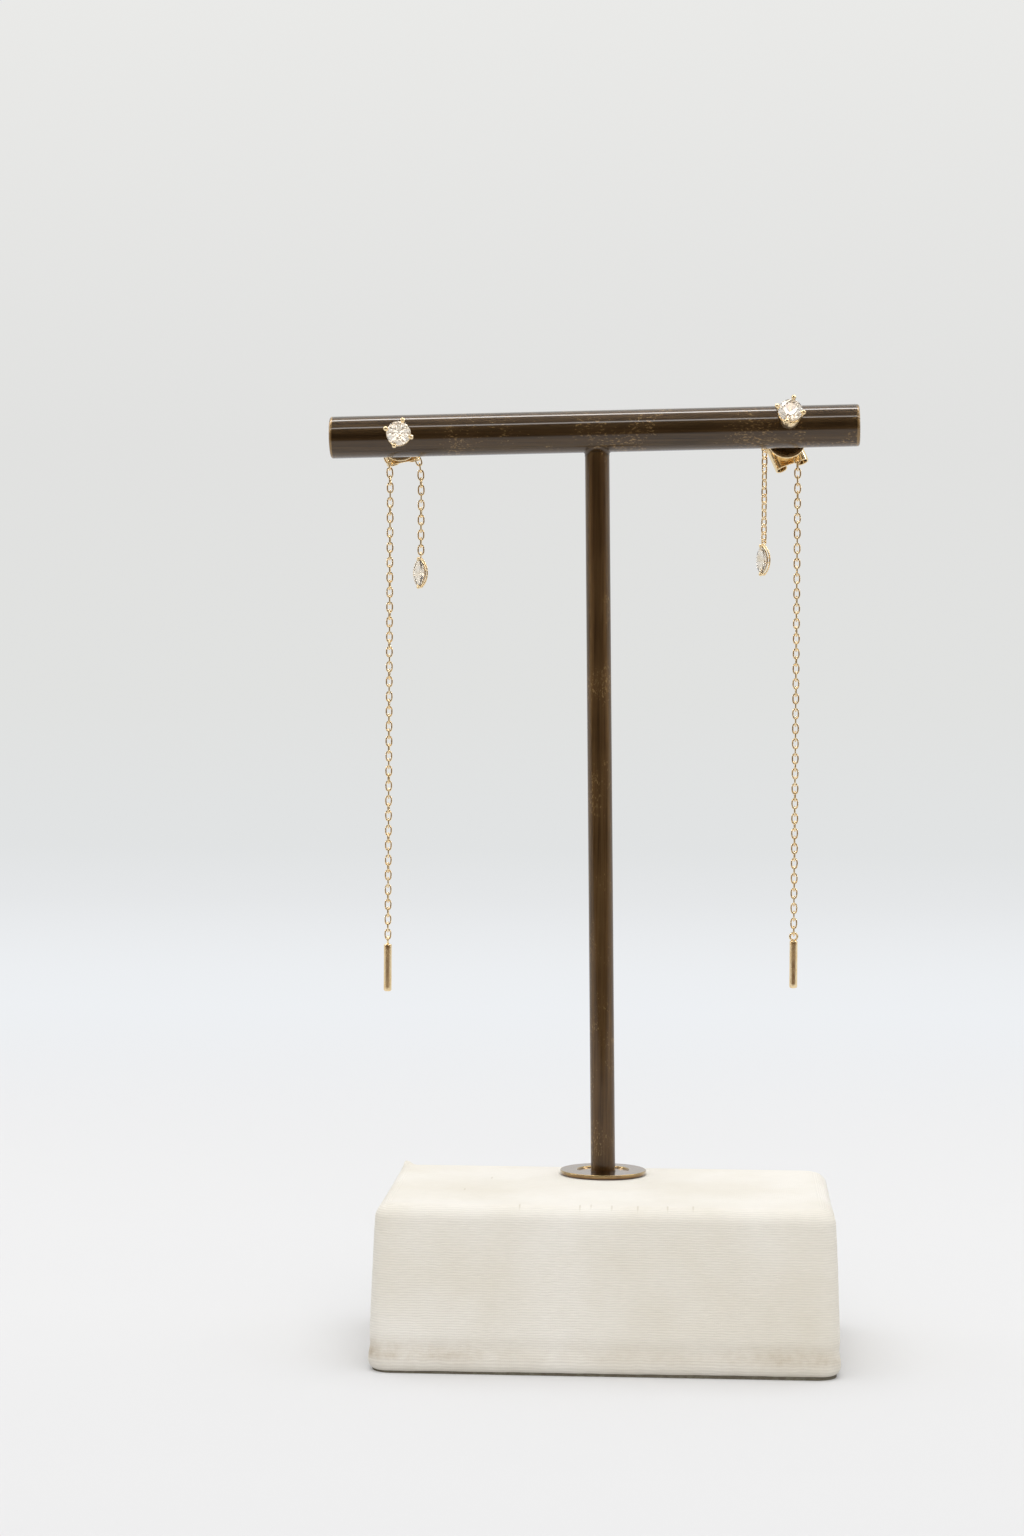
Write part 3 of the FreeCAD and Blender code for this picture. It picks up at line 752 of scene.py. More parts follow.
def cloth_shift(point, low, high):
    """How far the cloth stands from the block's own form at a point."""
    wall = min(1.0, max(0.0, (point.z - low.z) / (3 * MM)))
    soft = noise.noise(point * 90) * 0.16 + noise.noise(point * 260) * 0.05
    side = Vector([math.copysign(abs(part) ** 12, part)
                   for part in (point.x / high.x, point.y / high.y)] + [0])
    shift = side * (soft * wall * 0.6 - 0.03) * MM
    if point.z > high.z - 0.02 * MM:
        shift.z += (soft * 0.4 - 0.04) * MM
    tip = Vector((low.x + 1.75 * MM, high.y - 1.75 * MM, high.z - 0.25 * MM))
    shift += Vector((-0.3, 0.1, 1.25)) * swell((point - tip).length, 0.8 * MM) * MM
    groove = swell(point.z - low.z - 2.5 * MM, 0.75 * MM)
    shift -= side * groove * (0.15 + 0.06 * noise.noise(point * 200)) * MM
    if point.y < low.y + 3 * MM:
        seams = [swell(point.x - low.x - 1.1 * MM, 0.5 * MM),
                 swell(point.x - high.x + 1.1 * MM, 0.5 * MM)]
        shift.y -= 0.05 * MM * sum(seams) * wall
    foot = max(0.0, 1 - (point.z - low.z) / (1.2 * MM))
    fray = 0.05 * noise.noise(point * 420)
    shift.z -= foot * (0.44 - 0.09 * point.x / high.x + fray) * MM
    return shift


def lay_weave(mesh, points, travel, count, low, high):
    """UV map in metres: ribs run round the walls and straight across the top."""
    layer = mesh.uv_layers.new(name="weave")
    edge = next(run for run, p in zip(travel, points[::count]) if p.z > high.z - 0.001 * MM)
    front = low.y + 2.65 * MM
    for face in mesh.polygons:
        centre = sum((points[v] for v in face.vertices), Vector()) / len(face.vertices)
        top = centre.z > high.z - 0.01 * MM
        sideways = abs(centre.x) / high.x > abs(centre.y) / high.y + 0.35 and not top
        for loop, vertex in zip(face.loop_indices, face.vertices):
            point = points[vertex]
            run = edge + point.y - front if top else travel[vertex // count]
            layer.data[loop].uv = (point.y if sideways else point.x, run)


def base_pad(finish):
    """Gives the pad under the base its dull, dusty finish."""
    material, tree, shader, place = new_material("foot pad")
    dust = noise_at(tree, place, 900.0, 5.0, 0.7)
    tone = mix_colour(tree, ramp(tree, dust, [(0.45, 0.0), (0.72, 1.0)]), finish.pad,
                      (0.2, 0.19, 0.14))
    connect(tree, shader, {"Base Color": tone, "Normal": bump(tree, dust, 0.5, 0.05 * MM),
                           "Roughness": 0.85})
    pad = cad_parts["base_pad"]
    pad.data.materials.clear()
    pad.data.materials.append(material)


# Washer, post and bar

POST_R = 1.525 * MM
BAR_R = 2.62 * MM
SOLDER = ((0.0, 0.5), (0.0, 0.16), (0.06, 0.07), (0.16, 0.0), (0.3, -0.05), (0.3, -0.6))


def washer(finish):
    """Turned washer with a recess, and a painted highlight along the top edges of its rims."""
    low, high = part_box("post_washer")
    centre = (low + high) / 2
    outer = (high.x - low.x) / 2
    height = high.z - low.z
    ease, recess, depth, hole = 0.1 * MM, 3.25 * MM, 0.2 * MM, 1.58 * MM
    profile = [(hole, 0), (outer - ease, 0)]
    profile += arc(ease, -90, 0, 4, (outer - ease, ease), 1)
    profile += arc(ease, 0, 90, 5, (outer - ease, height - ease))
    profile += [(outer - 2.2 * ease, height), (recess + 2.2 * ease, height), (recess + ease, height)]
    profile += arc(ease, 90, 180, 4, (recess + ease, height - ease), 1)
    profile += [(recess - ease / 2, height - depth), (hole, height - depth)]
    shape = Shape()
    shape.bands(rings(profile, 96), closed=True,
                place=Matrix.Translation((centre.x, centre.y, low.z)))
    piece = finished("post_washer_turned", shape, washer_material(finish),
                     ["post_washer"])
    # Marks the top edges of the outer rim and of the recess, which get the painted highlight.
    rim = piece.data.attributes.new("rim", "FLOAT", "POINT")
    for vertex, value in zip(piece.data.vertices, rim.data):
        spread = math.hypot(vertex.co.x - centre.x, vertex.co.y - centre.y)
        near_top = vertex.co.z > high.z - 1.3 * ease
        at_highlight_rim = spread > outer - 1.3 * ease or abs(spread - recess) < 1.3 * ease
        value.value = 1.0 if near_top and at_highlight_rim else 0.0


def along(start, end):
    """Matrix that lays local Z from one point towards another."""
    turn = Vector((0, 0, 1)).rotation_difference((end - start).normalized())
    return Matrix.Translation(start) @ turn.to_matrix().to_4x4()


def rod_profile(radius, reach, ease):
    """Half section of a round rod with eased ends."""
    profile = [(0, 0), (radius * 0.5, 0), (radius - ease, 0)]
    profile += arc(ease, -90, 0, 4, (radius - ease, ease), 1)
    profile += [(radius, ease + (reach - 2 * ease) * k / 24) for k in range(1, 24)]
    profile += arc(ease, 0, 90, 4, (radius - ease, reach - ease))
    return profile + [(radius * 0.5, reach), (0, reach)]


def post_and_bar(finish):
    """The upright rod with its solder at the top, and the crossbar."""
    foot, top = rod_ends("stand_post", 2)
    left, right = rod_ends("stand_bar", 0)
    shape = Shape()
    shape.turned(rod_profile(POST_R, (top - foot).length, 0.1 * MM), 96, along(foot, top))
    brass = brass_material("post brass", (2600, 2600, 60), (4800, 4800, 2000), finish)
    finished("stand_post_rod", shape, brass, ["stand_post"])
    axis = (right - left).normalized()
    shape = Shape()
    shape.turned(rod_profile(BAR_R, (right - left).length, 0.28 * MM), 128, along(left, right))
    joint = left + axis * ((top - left).dot(axis))
    down = (foot - top).normalized()
    rows = []
    for size, depth in SOLDER:
        reach = POST_R + 0.03 * MM + size * MM
        row = []
        for turn in around(96):
            ray = axis * turn.x + axis.cross(down) * turn.y
            sag = BAR_R - math.sqrt(BAR_R ** 2 - (reach * turn.y) ** 2)
            row.append(joint + ray * reach + down * (BAR_R - sag + depth * MM))
        rows.append(row)
    shape.bands(rows)
    ends = (min(left.x, right.x), max(left.x, right.x))
    brass = brass_material("bar brass", (60, 2600, 2600), (2000, 4800, 4800), finish, 0.6, 1.0, ends)
    finished("stand_bar_rod", shape, brass, ["stand_bar"])


# Stones

def round_edge(size):
    def edge(turn):
        return Vector((size["radius"] * math.cos(turn), size["radius"] * math.sin(turn), 0))
    return edge


def marquise_edge(half_width, half_length):
    """Outline of two arcs, with the angle measured from its upper tip."""
    bow = (half_length ** 2 + half_width ** 2) / (2 * half_width)

    def edge(turn):
        y = half_length * math.cos(turn)
        x = math.sqrt(bow ** 2 - y ** 2) - bow + half_width
        return Vector((-math.copysign(max(x, 0.0), math.sin(turn)), y, 0))
    return edge


def brilliant(shape, place, edge, size, waist=0.03):
    """Adds a brilliant cut: table, star, kite and girdle facets above, long facets below."""
    table, star, lower = 0.56, 0.76, 0.26

    def at(turn, part, height):
        point = edge(turn) * part
        point.z = height
        return place @ point

    def facet(*corners):
        shape.add(corners, [list(range(len(corners)))])

    crown, depth = size["crown"], size["pavilion"]
    rim = size["radius"] * waist
    step = math.pi / 4
    tilt = math.cos(step / 2)
    star_height = crown - (star * tilt - table) / (1 - table) * (crown - rim)
    low_height = -rim - (depth - rim) * (1 - lower * tilt)
    for k in range(8):
        here = k * step
        middle, before = (k + 0.5) * step, (k - 0.5) * step
        corner = at(here, table, crown)
        left_star, right_star = at(before, star, star_height), at(middle, star, star_height)
        shape.add([corner, left_star, at(here, 1, rim), right_star], [[0, 1, 3], [1, 2, 3]])
        facet(corner, right_star, at((k + 1) * step, table, crown))
        quarters = [here + step * q / 4 for q in range(5)]
        for near, far in zip(quarters, quarters[1:]):
            facet(right_star, at(near, 1, rim), at(far, 1, rim))
            facet(at(near, 1, rim), at(near, 1, -rim), at(far, 1, -rim), at(far, 1, rim))
            facet(at(middle, lower, low_height), at(far, 1, -rim), at(near, 1, -rim))
        shape.add([place @ Vector((0, 0, -depth)), at(middle, lower, low_height),
                   at(here, 1, -rim), at(before, lower, low_height)], [[0, 1, 2], [0, 2, 3]])
    facet(*[at(k * step, table, crown) for k in range(8)])


def marquise(side):
    """A marquise stone's matrix and sizes, its half width and its half length."""
    place, size = gem_frame(side + "_drop_stone")
    points = [place.inverted() @ Vector(p) for p in node_points(side + "_drop_stone")]
    return place, size, max(p.x for p in points), max(p.y for p in points)


def stones(material):
    """The two round stones and the two marquise stones."""
    for side in SIDES:
        place, size = gem_frame(side + "_stud_stone")
        shape = Shape()
        brilliant(shape, place, round_edge(size), size)
        finished(side + "_stud_brilliant", shape, material, [side + "_stud_stone"], flat=True)
        place, size, half_width, half_length = marquise(side)
        size["radius"] = half_width
        shape = Shape()
        brilliant(shape, place, marquise_edge(half_width, half_length), size, 0.05)
        finished(side + "_drop_marquise", shape, material, [side + "_drop_stone"], flat=True)


# Settings

GIRDLE_HEIGHT = 5.8 * MM
STUD_FOOT = 2.9 * MM
CLAW_ROOT_R = 0.98 * MM
CLAW_TIP_R = 1.66 * MM
CLAW_TIP_HEIGHT = 0.38 * MM
EAR_POST_R = 0.4 * MM
EAR_POST_END = 7.2 * MM


def up(height):
    return Vector((0, 0, height))


def stud_setting(side, jewel, material, claw_turn):
    """Ear post, cup, scalloped basket and four beaded claws of one stud."""
    place, _ = gem_frame(side + "_stud_stone")
    base = STUD_FOOT - GIRDLE_HEIGHT
    end = -GIRDLE_HEIGHT - EAR_POST_END
    shape = Shape()
    shape.turned([(0, end), (EAR_POST_R * 0.6, end), (EAR_POST_R, end + 0.25 * MM),
                  (EAR_POST_R, base), (0.7 * MM, base), (0.88 * MM, base + 0.06 * MM),
                  (0.98 * MM, base + 0.2 * MM), (0.9 * MM, base + 0.3 * MM),
                  (0.3 * MM, base + 0.38 * MM), (0, base + 0.38 * MM)], 48, place)
    basket(shape, place, base + 0.12 * MM, claw_turn)
    steps = [k / 10 for k in range(11)]
    for index in range(4):
        turn = claw_turn + index * math.pi / 2
        ray = Vector((math.cos(turn), math.sin(turn), 0))
        root = ray * CLAW_ROOT_R + up(base + 0.2 * MM)
        tip = ray * CLAW_TIP_R + up(CLAW_TIP_HEIGHT)
        path = [root.lerp(tip, t) + ray * (0.07 * MM * math.sin(math.pi * t)) for t in steps]
        shape.wire(path, [jewel.claw_wire * (0.8 + 0.3 * t) for t in steps], 16, place=place)
        shape.ball(tip, jewel.claw_bead, place)
        shape.ball(tip - ray * 0.16 * MM - up(0.02 * MM), jewel.claw_bead * 0.72, place, 16)
    finished(side + "_stud_claws", shape, material, [side + "_stud_setting"])


def basket(shape, place, foot, claw_turn):
    """Cone wall under the stone, scalloped between the claws and notched under them."""
    rises, wall = 8, 0.17 * MM
    outer, inner = [], []
    for level in range(rises + 1):
        rows = [], []
        for k in range(96):
            turn = 2 * math.pi * k / 96
            notch = swell(math.remainder(turn - claw_turn, math.pi / 2), 0.17)
            top = -0.45 * MM + 0.22 * MM * math.cos(4 * (turn - claw_turn))
            bottom = foot + (0.7 * notch - 0.05) * MM
            z = bottom + (top - bottom) * level / rises
            bulge = 0.1 * MM * math.sin(math.pi * level / rises)
            radius = 1.2 * MM + (z - foot) * 0.14 + bulge
            ray = Vector((math.cos(turn), math.sin(turn), 0))
            rows[0].append(ray * radius + up(z))
            rows[1].append(ray * (radius - wall) + up(z))
        outer.append(rows[0])
        inner.append(rows[1])
    shape.bands(outer + inner[::-1], closed=True, place=place)


def drop_setting(side, material):
    """Two marquise rails, the posts between them, a bead at each tip and the ring."""
    place, _, half_width, half_length = marquise(side)
    shape = Shape()
    rail = marquise_edge(half_width + 0.05 * MM, half_length + 0.05 * MM)
    for height, size in ((-0.19 * MM, 0.105 * MM), (-0.68 * MM, 0.1 * MM)):
        loop = [rail(2 * math.pi * k / 64) + up(height) for k in range(64)]
        shape.wire(loop, size, 12, closed=True, place=place)
    for turn in (0, -0.16 + math.pi / 2, 0.16 + math.pi / 2, math.pi,
                 -0.16 + 3 * math.pi / 2, 0.16 + 3 * math.pi / 2):
        foot, head = rail(turn) + up(-0.72 * MM), rail(turn) + up(-0.15 * MM)
        shape.wire([foot, foot.lerp(head, 0.5), head], 0.09 * MM, 12, place=place)
    for tip in (half_length, -half_length):
        foot, head = Vector((0, tip, -0.72 * MM)), Vector((0, tip, 0.12 * MM))
        shape.wire([foot, foot.lerp(head, 0.5), head], [0.15 * MM, 0.17 * MM, 0.2 * MM], 16,
                   place=place)
        shape.ball(head, 0.235 * MM, place)
        shape.ball(head + Vector((0, math.copysign(0.16 * MM, -tip), 0.0)), 0.17 * MM, place, 16)
    link = chain_links(side + "_short_chain")[-1]
    shape.ring(place @ Vector((0, 2.28 * MM, -0.5 * MM)), level_axis(link), 0.33 * MM, 0.1 * MM)
    finished(side + "_drop_rails", shape, material, [side + "_drop_setting"])


def level_axis(link):
    """Level direction across a link, about which the ring that it holds is turned."""
    return Vector((link["wide"].x, link["wide"].y, 0)).normalized()


# Ear backs

DISC_FRONT = 2.9 * MM
DISC_HEIGHT = 0.3 * MM
DISC_R = 2.35 * MM
COLLAR_LENGTH = 1.8 * MM
ROLL_R = 0.9 * MM
ROLL_OFFSET = 1.3 * MM
ROLL_STEPS = 26
STRIP = 0.2 * MM
EYE_R = 0.455 * MM
EYE_WIRE = 0.125 * MM
RING_PLAY = 0.12 * MM
YOKE_RISE = 0.06 * MM
YOKE_WIRE = 0.17 * MM
YOKE_BEND = 0.35 * MM
NUT_HALF_LENGTH = 2.3 * MM


def disc_profile():
    """Dished disc and collar, from the back of the collar to the disc's front."""
    back = -DISC_FRONT - DISC_HEIGHT
    ease = DISC_HEIGHT / 3
    profile = [(0.5 * MM, back - COLLAR_LENGTH), (0.8 * MM, back - COLLAR_LENGTH),
               (0.72 * MM, back - COLLAR_LENGTH * 0.7), (0.7 * MM, back - 0.5 * MM),
               (0.85 * MM, back - 0.2 * MM), (1.15 * MM, back), (DISC_R - 3 * ease, back)]
    profile += arc(ease, -90, 0, 4, (DISC_R - ease, back + ease))
    profile += arc(ease, 0, 90, 4, (DISC_R - ease, -DISC_FRONT - ease))
    return profile + [(DISC_R - 0.45 * MM, -DISC_FRONT), (DISC_R - 0.6 * MM, -DISC_FRONT - 0.05 * MM),
                      (0.5 * MM, -DISC_FRONT - 0.05 * MM)]


def scroll_path(hand):
    """Centre line of one half of the nut: out along its plate, then rolled back on itself."""
    plate = -DISC_FRONT - DISC_HEIGHT - COLLAR_LENGTH
    path = [Vector((hand * x * MM, 0, plate - STRIP / 2)) for x in (0, 0.3, 0.6, 0.9, 1.15)]
    centre = Vector((hand * ROLL_OFFSET, 0, plate - ROLL_R))
    for k in range(ROLL_STEPS + 1):
        turn = math.radians(88 - 300 * k / ROLL_STEPS)
        radius = ROLL_R - STRIP / 2 - 0.32 * MM * max(0.0, (k - 9) / (ROLL_STEPS - 9))
        path.append(centre + Vector((hand * radius * math.cos(turn), 0, radius * math.sin(turn))))
    return path


def yoke_leg(centre, other, level):
    """Path from the top of one eye up to the yoke's level, bent towards the other eye."""
    toward = Vector((math.copysign(1, other.x - centre.x), 0, 0))
    corner = Vector((centre.x, centre.y, level))
    if centre.z + EYE_R > level - YOKE_BEND * 0.9:
        return [Vector((centre.x, centre.y, centre.z + EYE_R * 0.9)), corner + toward * YOKE_BEND]
    bend = [corner + toward * x + up(z)
            for x, z in arc(YOKE_BEND, 180, 90, 6, (YOKE_BEND, -YOKE_BEND))]
    return [Vector((centre.x, centre.y, centre.z + EYE_R)), corner - up(YOKE_BEND)] + bend


def ear_back(side, material, nut_turn):
    """Disc, collar, rolled nut, and the yoke with an eye for each strand."""
    place = gem_frame(side + "_stud_stone")[0] @ Matrix.Translation((0, 0, -GIRDLE_HEIGHT))
    shape = Shape()
    shape.bands(rings(disc_profile(), 64), closed=True, place=place)
    turned = place @ Matrix.Rotation(nut_turn, 4, "Z")
    for hand in (-1, 1):
        shape.strip(scroll_path(hand), NUT_HALF_LENGTH, STRIP, turned)
    eyes = [eye_of(chain_links(side + strand)[0]) for strand in ("_long_chain", "_short_chain")]
    reach = DISC_FRONT + DISC_HEIGHT + COLLAR_LENGTH / 2
    level = (place @ up(-reach)).z + YOKE_RISE
    first, second = [centre for centre, _ in eyes]
    legs = yoke_leg(first, second, level) + yoke_leg(second, first, level)[::-1]
    shape.wire(legs, YOKE_WIRE, 14)
    for centre, axis in eyes:
        shape.ring(centre, axis, EYE_R, EYE_WIRE)
    finished(side + "_ear_back_nut", shape, material, [side + "_ear_back"])


def eye_of(link):
    """Centre and axis of the eye that a strand's first link hangs from."""
    wire = bpy.context.scene.jewel_finish.link_wire
    held = link["centre"] + link["long"] * (link["half"] - 2 * wire - RING_PLAY - EYE_WIRE)
    return held + up(EYE_R), level_axis(link)


# Chains

LINK_INPUTS = (("Strand", "Geometry", None), ("Half length", "Float", 0.62 * MM),
               ("Half width", "Float", 0.35 * MM), ("Wire radius", "Float", 0.1 * MM),
               ("Roundness", "Float", 0.8), ("Steps", "Int", 40), ("Wire sides", "Int", 10),
               ("Metal", "Material", None))


def link_tree():
    """Geometry nodes that set an oval link of round wire on each point of a strand."""
    tree = bpy.data.node_groups.new("strand of links", "GeometryNodeTree")
    for title, kind, default in LINK_INPUTS:
        socket = tree.interface.new_socket(title, in_out="INPUT", socket_type="NodeSocket" + kind)
        if default is not None:
            socket.default_value = default
    tree.interface.new_socket("Links", in_out="OUTPUT", socket_type="NodeSocketGeometry")
    given = tree.nodes.new("NodeGroupInput").outputs

    def made(kind, inputs, **settings):
        return node(tree, kind, inputs, **settings).outputs[0]

    circle = made("GeometryNodeCurvePrimitiveCircle", {"Resolution": given["Steps"], "Radius": 1.0})
    parts = split(tree, made("GeometryNodeInputPosition", {}))
    shaped = []
    for part, size in ((parts[0], "Half width"), (parts[1], "Half length")):
        bulk = maths(tree, "POWER", maths(tree, "ABSOLUTE", part), given["Roundness"])
        shaped.append(times(tree, maths(tree, "SIGN", part), bulk, given[size]))
    outline = made("ShaderNodeCombineXYZ", {0: shaped[0], 2: shaped[1]})
    moved = made("GeometryNodeSetPosition", {"Geometry": circle, "Position": outline})
    section = made("GeometryNodeCurvePrimitiveCircle", {"Resolution": given["Wire sides"],
                                                        "Radius": given["Wire radius"]})
    wire = made("GeometryNodeCurveToMesh", {"Curve": moved, "Profile Curve": section})
    turn = made("GeometryNodeInputNamedAttribute", {"Name": "turn"}, data_type="FLOAT_VECTOR")
    placed = made("GeometryNodeInstanceOnPoints", {
        "Points": given["Strand"], "Instance": wire,
        "Rotation": made("FunctionNodeEulerToRotation", {0: turn})})
    real = made("GeometryNodeRealizeInstances", {0: placed})
    metal = made("GeometryNodeSetMaterial", {"Geometry": real, "Material": given["Metal"]})
    tree.links.new(metal, tree.nodes.new("NodeGroupOutput").inputs[0])
    return tree


def chain(name, tree, jewel, material):
    """One strand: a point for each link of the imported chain, dressed by the node tree."""
    links = chain_links(name)
    mesh = bpy.data.meshes.new(name + "_points")
    mesh.from_pydata([tuple(link["centre"]) for link in links], [], [])
    turns = mesh.attributes.new("turn", "FLOAT_VECTOR", "POINT")
    for value, link in zip(turns.data, links):
        wide, long = link["wide"], link["long"]
        matrix = Matrix((wide, long.cross(wide), long)).transposed()
        value.vector = tuple(matrix.to_euler("XYZ"))
    source = bpy.data.objects.new(name + "_points", mesh)
    bpy.context.scene.collection.objects.link(source)
    modifier = source.modifiers.new("links", "NODES")
    modifier.node_group = tree
    wire = jewel.link_wire
    values = {title: default for title, _, default in LINK_INPUTS if default is not None}
    values.update({"Half length": links[1]["half"] - wire, "Wire radius": wire,
                   "Half width": links[1]["half_width"] - wire, "Metal": material})
    for item in tree.interface.items_tree:
        if item.item_type == "SOCKET" and item.name in values:
            modifier[item.identifier] = values[item.name]
    bpy.context.view_layer.update()
    depsgraph = bpy.context.evaluated_depsgraph_get()
    made = bpy.data.meshes.new_from_object(source.evaluated_get(depsgraph), depsgraph=depsgraph)
    source.modifiers.clear()
    bpy.data.objects.remove(source)
    if not made.polygons:
        raise RuntimeError(name + ": the strand came out empty")
    tidy_mesh(made)
    made.name = name + "_links"
    finished_mesh(name + "_links", made, material, [name])


# Threader bars

def threader_bar(side, material):
    """Polished round bar with its ring."""
    node_name = side + "_threader_bar"
    low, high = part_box(node_name)
    points = node_points(node_name)
    ring_wire, ring_r = 0.14 * MM, 0.46 * MM
    top = high.z - 2 * ring_r - 1.5 * ring_wire
    body = points[points[:, 2] < top - 1.0 * MM]
    least, most = body.min(0), body.max(0)
    radius = (most[0] - least[0]) / 2
    x, y = (most[0] + least[0]) / 2, (most[1] + least[1]) / 2
    foot_ease, top_ease = 0.24 * MM, 0.12 * MM
    profile = [(0, low.z), (radius - foot_ease, low.z)]
    profile += arc(foot_ease, -90, 0, 6, (radius - foot_ease, low.z + foot_ease), 1)
    profile += [(radius, low.z + (top - low.z) * k / 10) for k in range(1, 10)]
    profile += arc(top_ease, 0, 90, 5, (radius - top_ease, top - top_ease))
    profile += [(0.24 * MM, top + 0.02 * MM), (0.19 * MM, top + 0.1 * MM), (0, top + 0.14 * MM)]
    shape = Shape()
    shape.turned(profile, 48, Matrix.Translation((x, y, 0)))
    axis = level_axis(chain_links(side + "_long_chain")[-1])
    shape.ring((x, y, high.z - ring_r - ring_wire), axis, ring_r, ring_wire)
    finished(side + "_threader_rod", shape, material, [node_name])


# Stage

COOL = (0.985, 0.99, 1.0)
WARM_FILL = (1.0, 0.945, 0.87)
ROOM_WOOD = (0.12, 0.075, 0.042)
BACK_GLOW = [(0.0, (0.83, 0.85, 0.874)), (0.0126, (0.808, 0.825, 0.844)),
             (0.0327, (0.764, 0.777, 0.789)), (0.0587, (0.732, 0.746, 0.75)),
             (0.16, (0.73, 0.737, 0.727)), (0.4, (0.735, 0.737, 0.727)), (1.0, (0.81, 0.81, 0.795))]
HAZE = (0.788, 0.792, 0.8)
UNLIT = (0.02, 0.02, 0.02)
TUBES = [(0.0, 0.008), (0.11, 0.009), (0.24, 0.016), (0.252, 0.5), (0.276, 0.5), (0.288, 0.03),
         (0.54, 0.035), (0.555, 0.95), (0.585, 0.95), (0.6, 0.06), (1.0, 0.06)]
PATCHES = [(0.4, (0.05, 0.03, 0.015)), (0.46, (0.3, 0.21, 0.13)), (0.5, (0.5, 0.45, 0.39)),
           (0.56, (1.0, 0.99, 0.97))]
LAMPLIGHT = [(0.0, (1.0, 0.66, 0.4)), (0.2, (1.0, 0.78, 0.58)), (0.25, COOL)]


def backdrop(studio):
    """Pale sweep: a floor that curves up into a wall."""
    front, back, radius, tall, half = -8.0, 1.5, 1.1, 3.2, 6.0
    profile = [(front + (back - radius - front) * k / 8, 0.0) for k in range(9)]
    profile += arc(radius, -90, 0, 24, (back - radius, radius), 1)
    profile += [(back, radius + (tall - radius) * k / 6) for k in range(1, 7)]
    shape = Shape()
    shape.bands([[(half * (k / 6 - 1), y, z) for k in range(13)] for y, z in profile],
                closed_rows=False, caps=False)
    mesh = shape.mesh("studio_sweep")
    mesh.shade_smooth()
    sweep = bpy.data.objects.new("studio_sweep", mesh)
    bpy.context.scene.collection.objects.link(sweep)
    mesh.materials.append(sweep_material(studio))


def mirrored_rays(tree):
    """The rays' kinds, and 1 for rays that bounce off metal but don't pass a stone."""
    rays = tree.nodes.new("ShaderNodeLightPath").outputs
    return rays, maths(tree, "SUBTRACT", rays["Is Glossy Ray"], rays["Is Transmission Ray"],
                       clamp=True)


def sweep_material(studio):
    """Matt paper that glows behind the stand, is brown in mirrored rays ahead and hazy far off."""
    material, tree, shader, place = new_material("pale sweep")
    paper = noise_at(tree, place, 900.0, 4.0)
    _, y, z = split(tree, place)
    wall = span(tree, y, 0.12, 0.42, soft=True)
    glow = ramp(tree, span(tree, z, 0.0, 0.45), BACK_GLOW)
    glow = mix_colour(tree, wall, (0.0, 0.0, 0.0), glow)
    floor = mix_colour(tree, span(tree, y, 0.02, -0.1), studio.floor, scaled(studio.floor, 0.955))
    base = mix_colour(tree, wall, floor, UNLIT)
    _, mirrored = mirrored_rays(tree)
    ahead = span(tree, y, -0.2, -0.3)
    base = mix_colour(tree, times(tree, mirrored, ahead), base, ROOM_WOOD)
    far = span(tree, y, -0.7, -1.6, soft=True)
    haze = times(tree, far, maths(tree, "SUBTRACT", 1.0, mirrored))
    connect(tree, shader, {"Base Color": mix_colour(tree, haze, base, UNLIT),
                           "Emission Color": mix_colour(tree, haze, glow, HAZE),
                           "Normal": bump(tree, paper, 0.05, 0.2 * MM), "Emission Strength": 1.0,
                           "Roughness": 0.9, "Specular IOR Level": 0.0})
    return material


def area_light(name, place, target, size, power, tint=(1, 1, 1)):
    data = bpy.data.lights.new(name, "AREA")
    data.shape = "RECTANGLE"
    data.size, data.size_y = size
    data.energy = power
    data.color = tint
    light = bpy.data.objects.new(name, data)
    light.location = place
    light.rotation_euler = (Vector(target) - Vector(place)).to_track_quat("-Z", "Y").to_euler()
    light.visible_glossy = False
    bpy.context.scene.collection.objects.link(light)
    return light


def room_light():
    """Soft room light. Metal mirrors a dim warm room with two tubes, stones show bright patches."""
    world = bpy.data.worlds.new("studio room")
    bpy.context.scene.world = world
    world.use_nodes = True
    tree = world.node_tree
    direction = tree.nodes.new("ShaderNodeTexCoord").outputs["Generated"]
    x, y, z = split(tree, direction)
    soft = maths(tree, "MAXIMUM", span(tree, z, -0.1, 0.75, 0.3, 1.0, soft=True),
                 span(tree, y, -0.2, 0.4, 0.0, 0.75, soft=True))
    sides = span(tree, maths(tree, "ABSOLUTE", x), 0.6, 0.85, 0.04, 0.45, soft=True)
    over = maths(tree, "DIVIDE", maths(tree, "ARCTAN2", z, times(tree, y, -1.0)), math.pi)
    tubes = times(tree, ramp(tree, over, TUBES), 12.0)
    rays, bounced = mirrored_rays(tree)
    through = rays["Is Transmission Ray"]
    patches = ramp(tree, noise_at(tree, direction, 5.0, 1.0), PATCHES)
    tint = mix_colour(tree, bounced, COOL, ramp(tree, over, LAMPLIGHT))
    tint = mix_colour(tree, through, tint, patches)
    strength = mix_number(tree, through, soft, 2.2)
    strength = mix_number(tree, bounced, strength, maths(tree, "MAXIMUM", sides, tubes))
    strength = mix_number(tree, rays["Is Camera Ray"], strength, 0.8)
    connect(tree, tree.nodes["Background"], {"Strength": strength, "Color": tint})


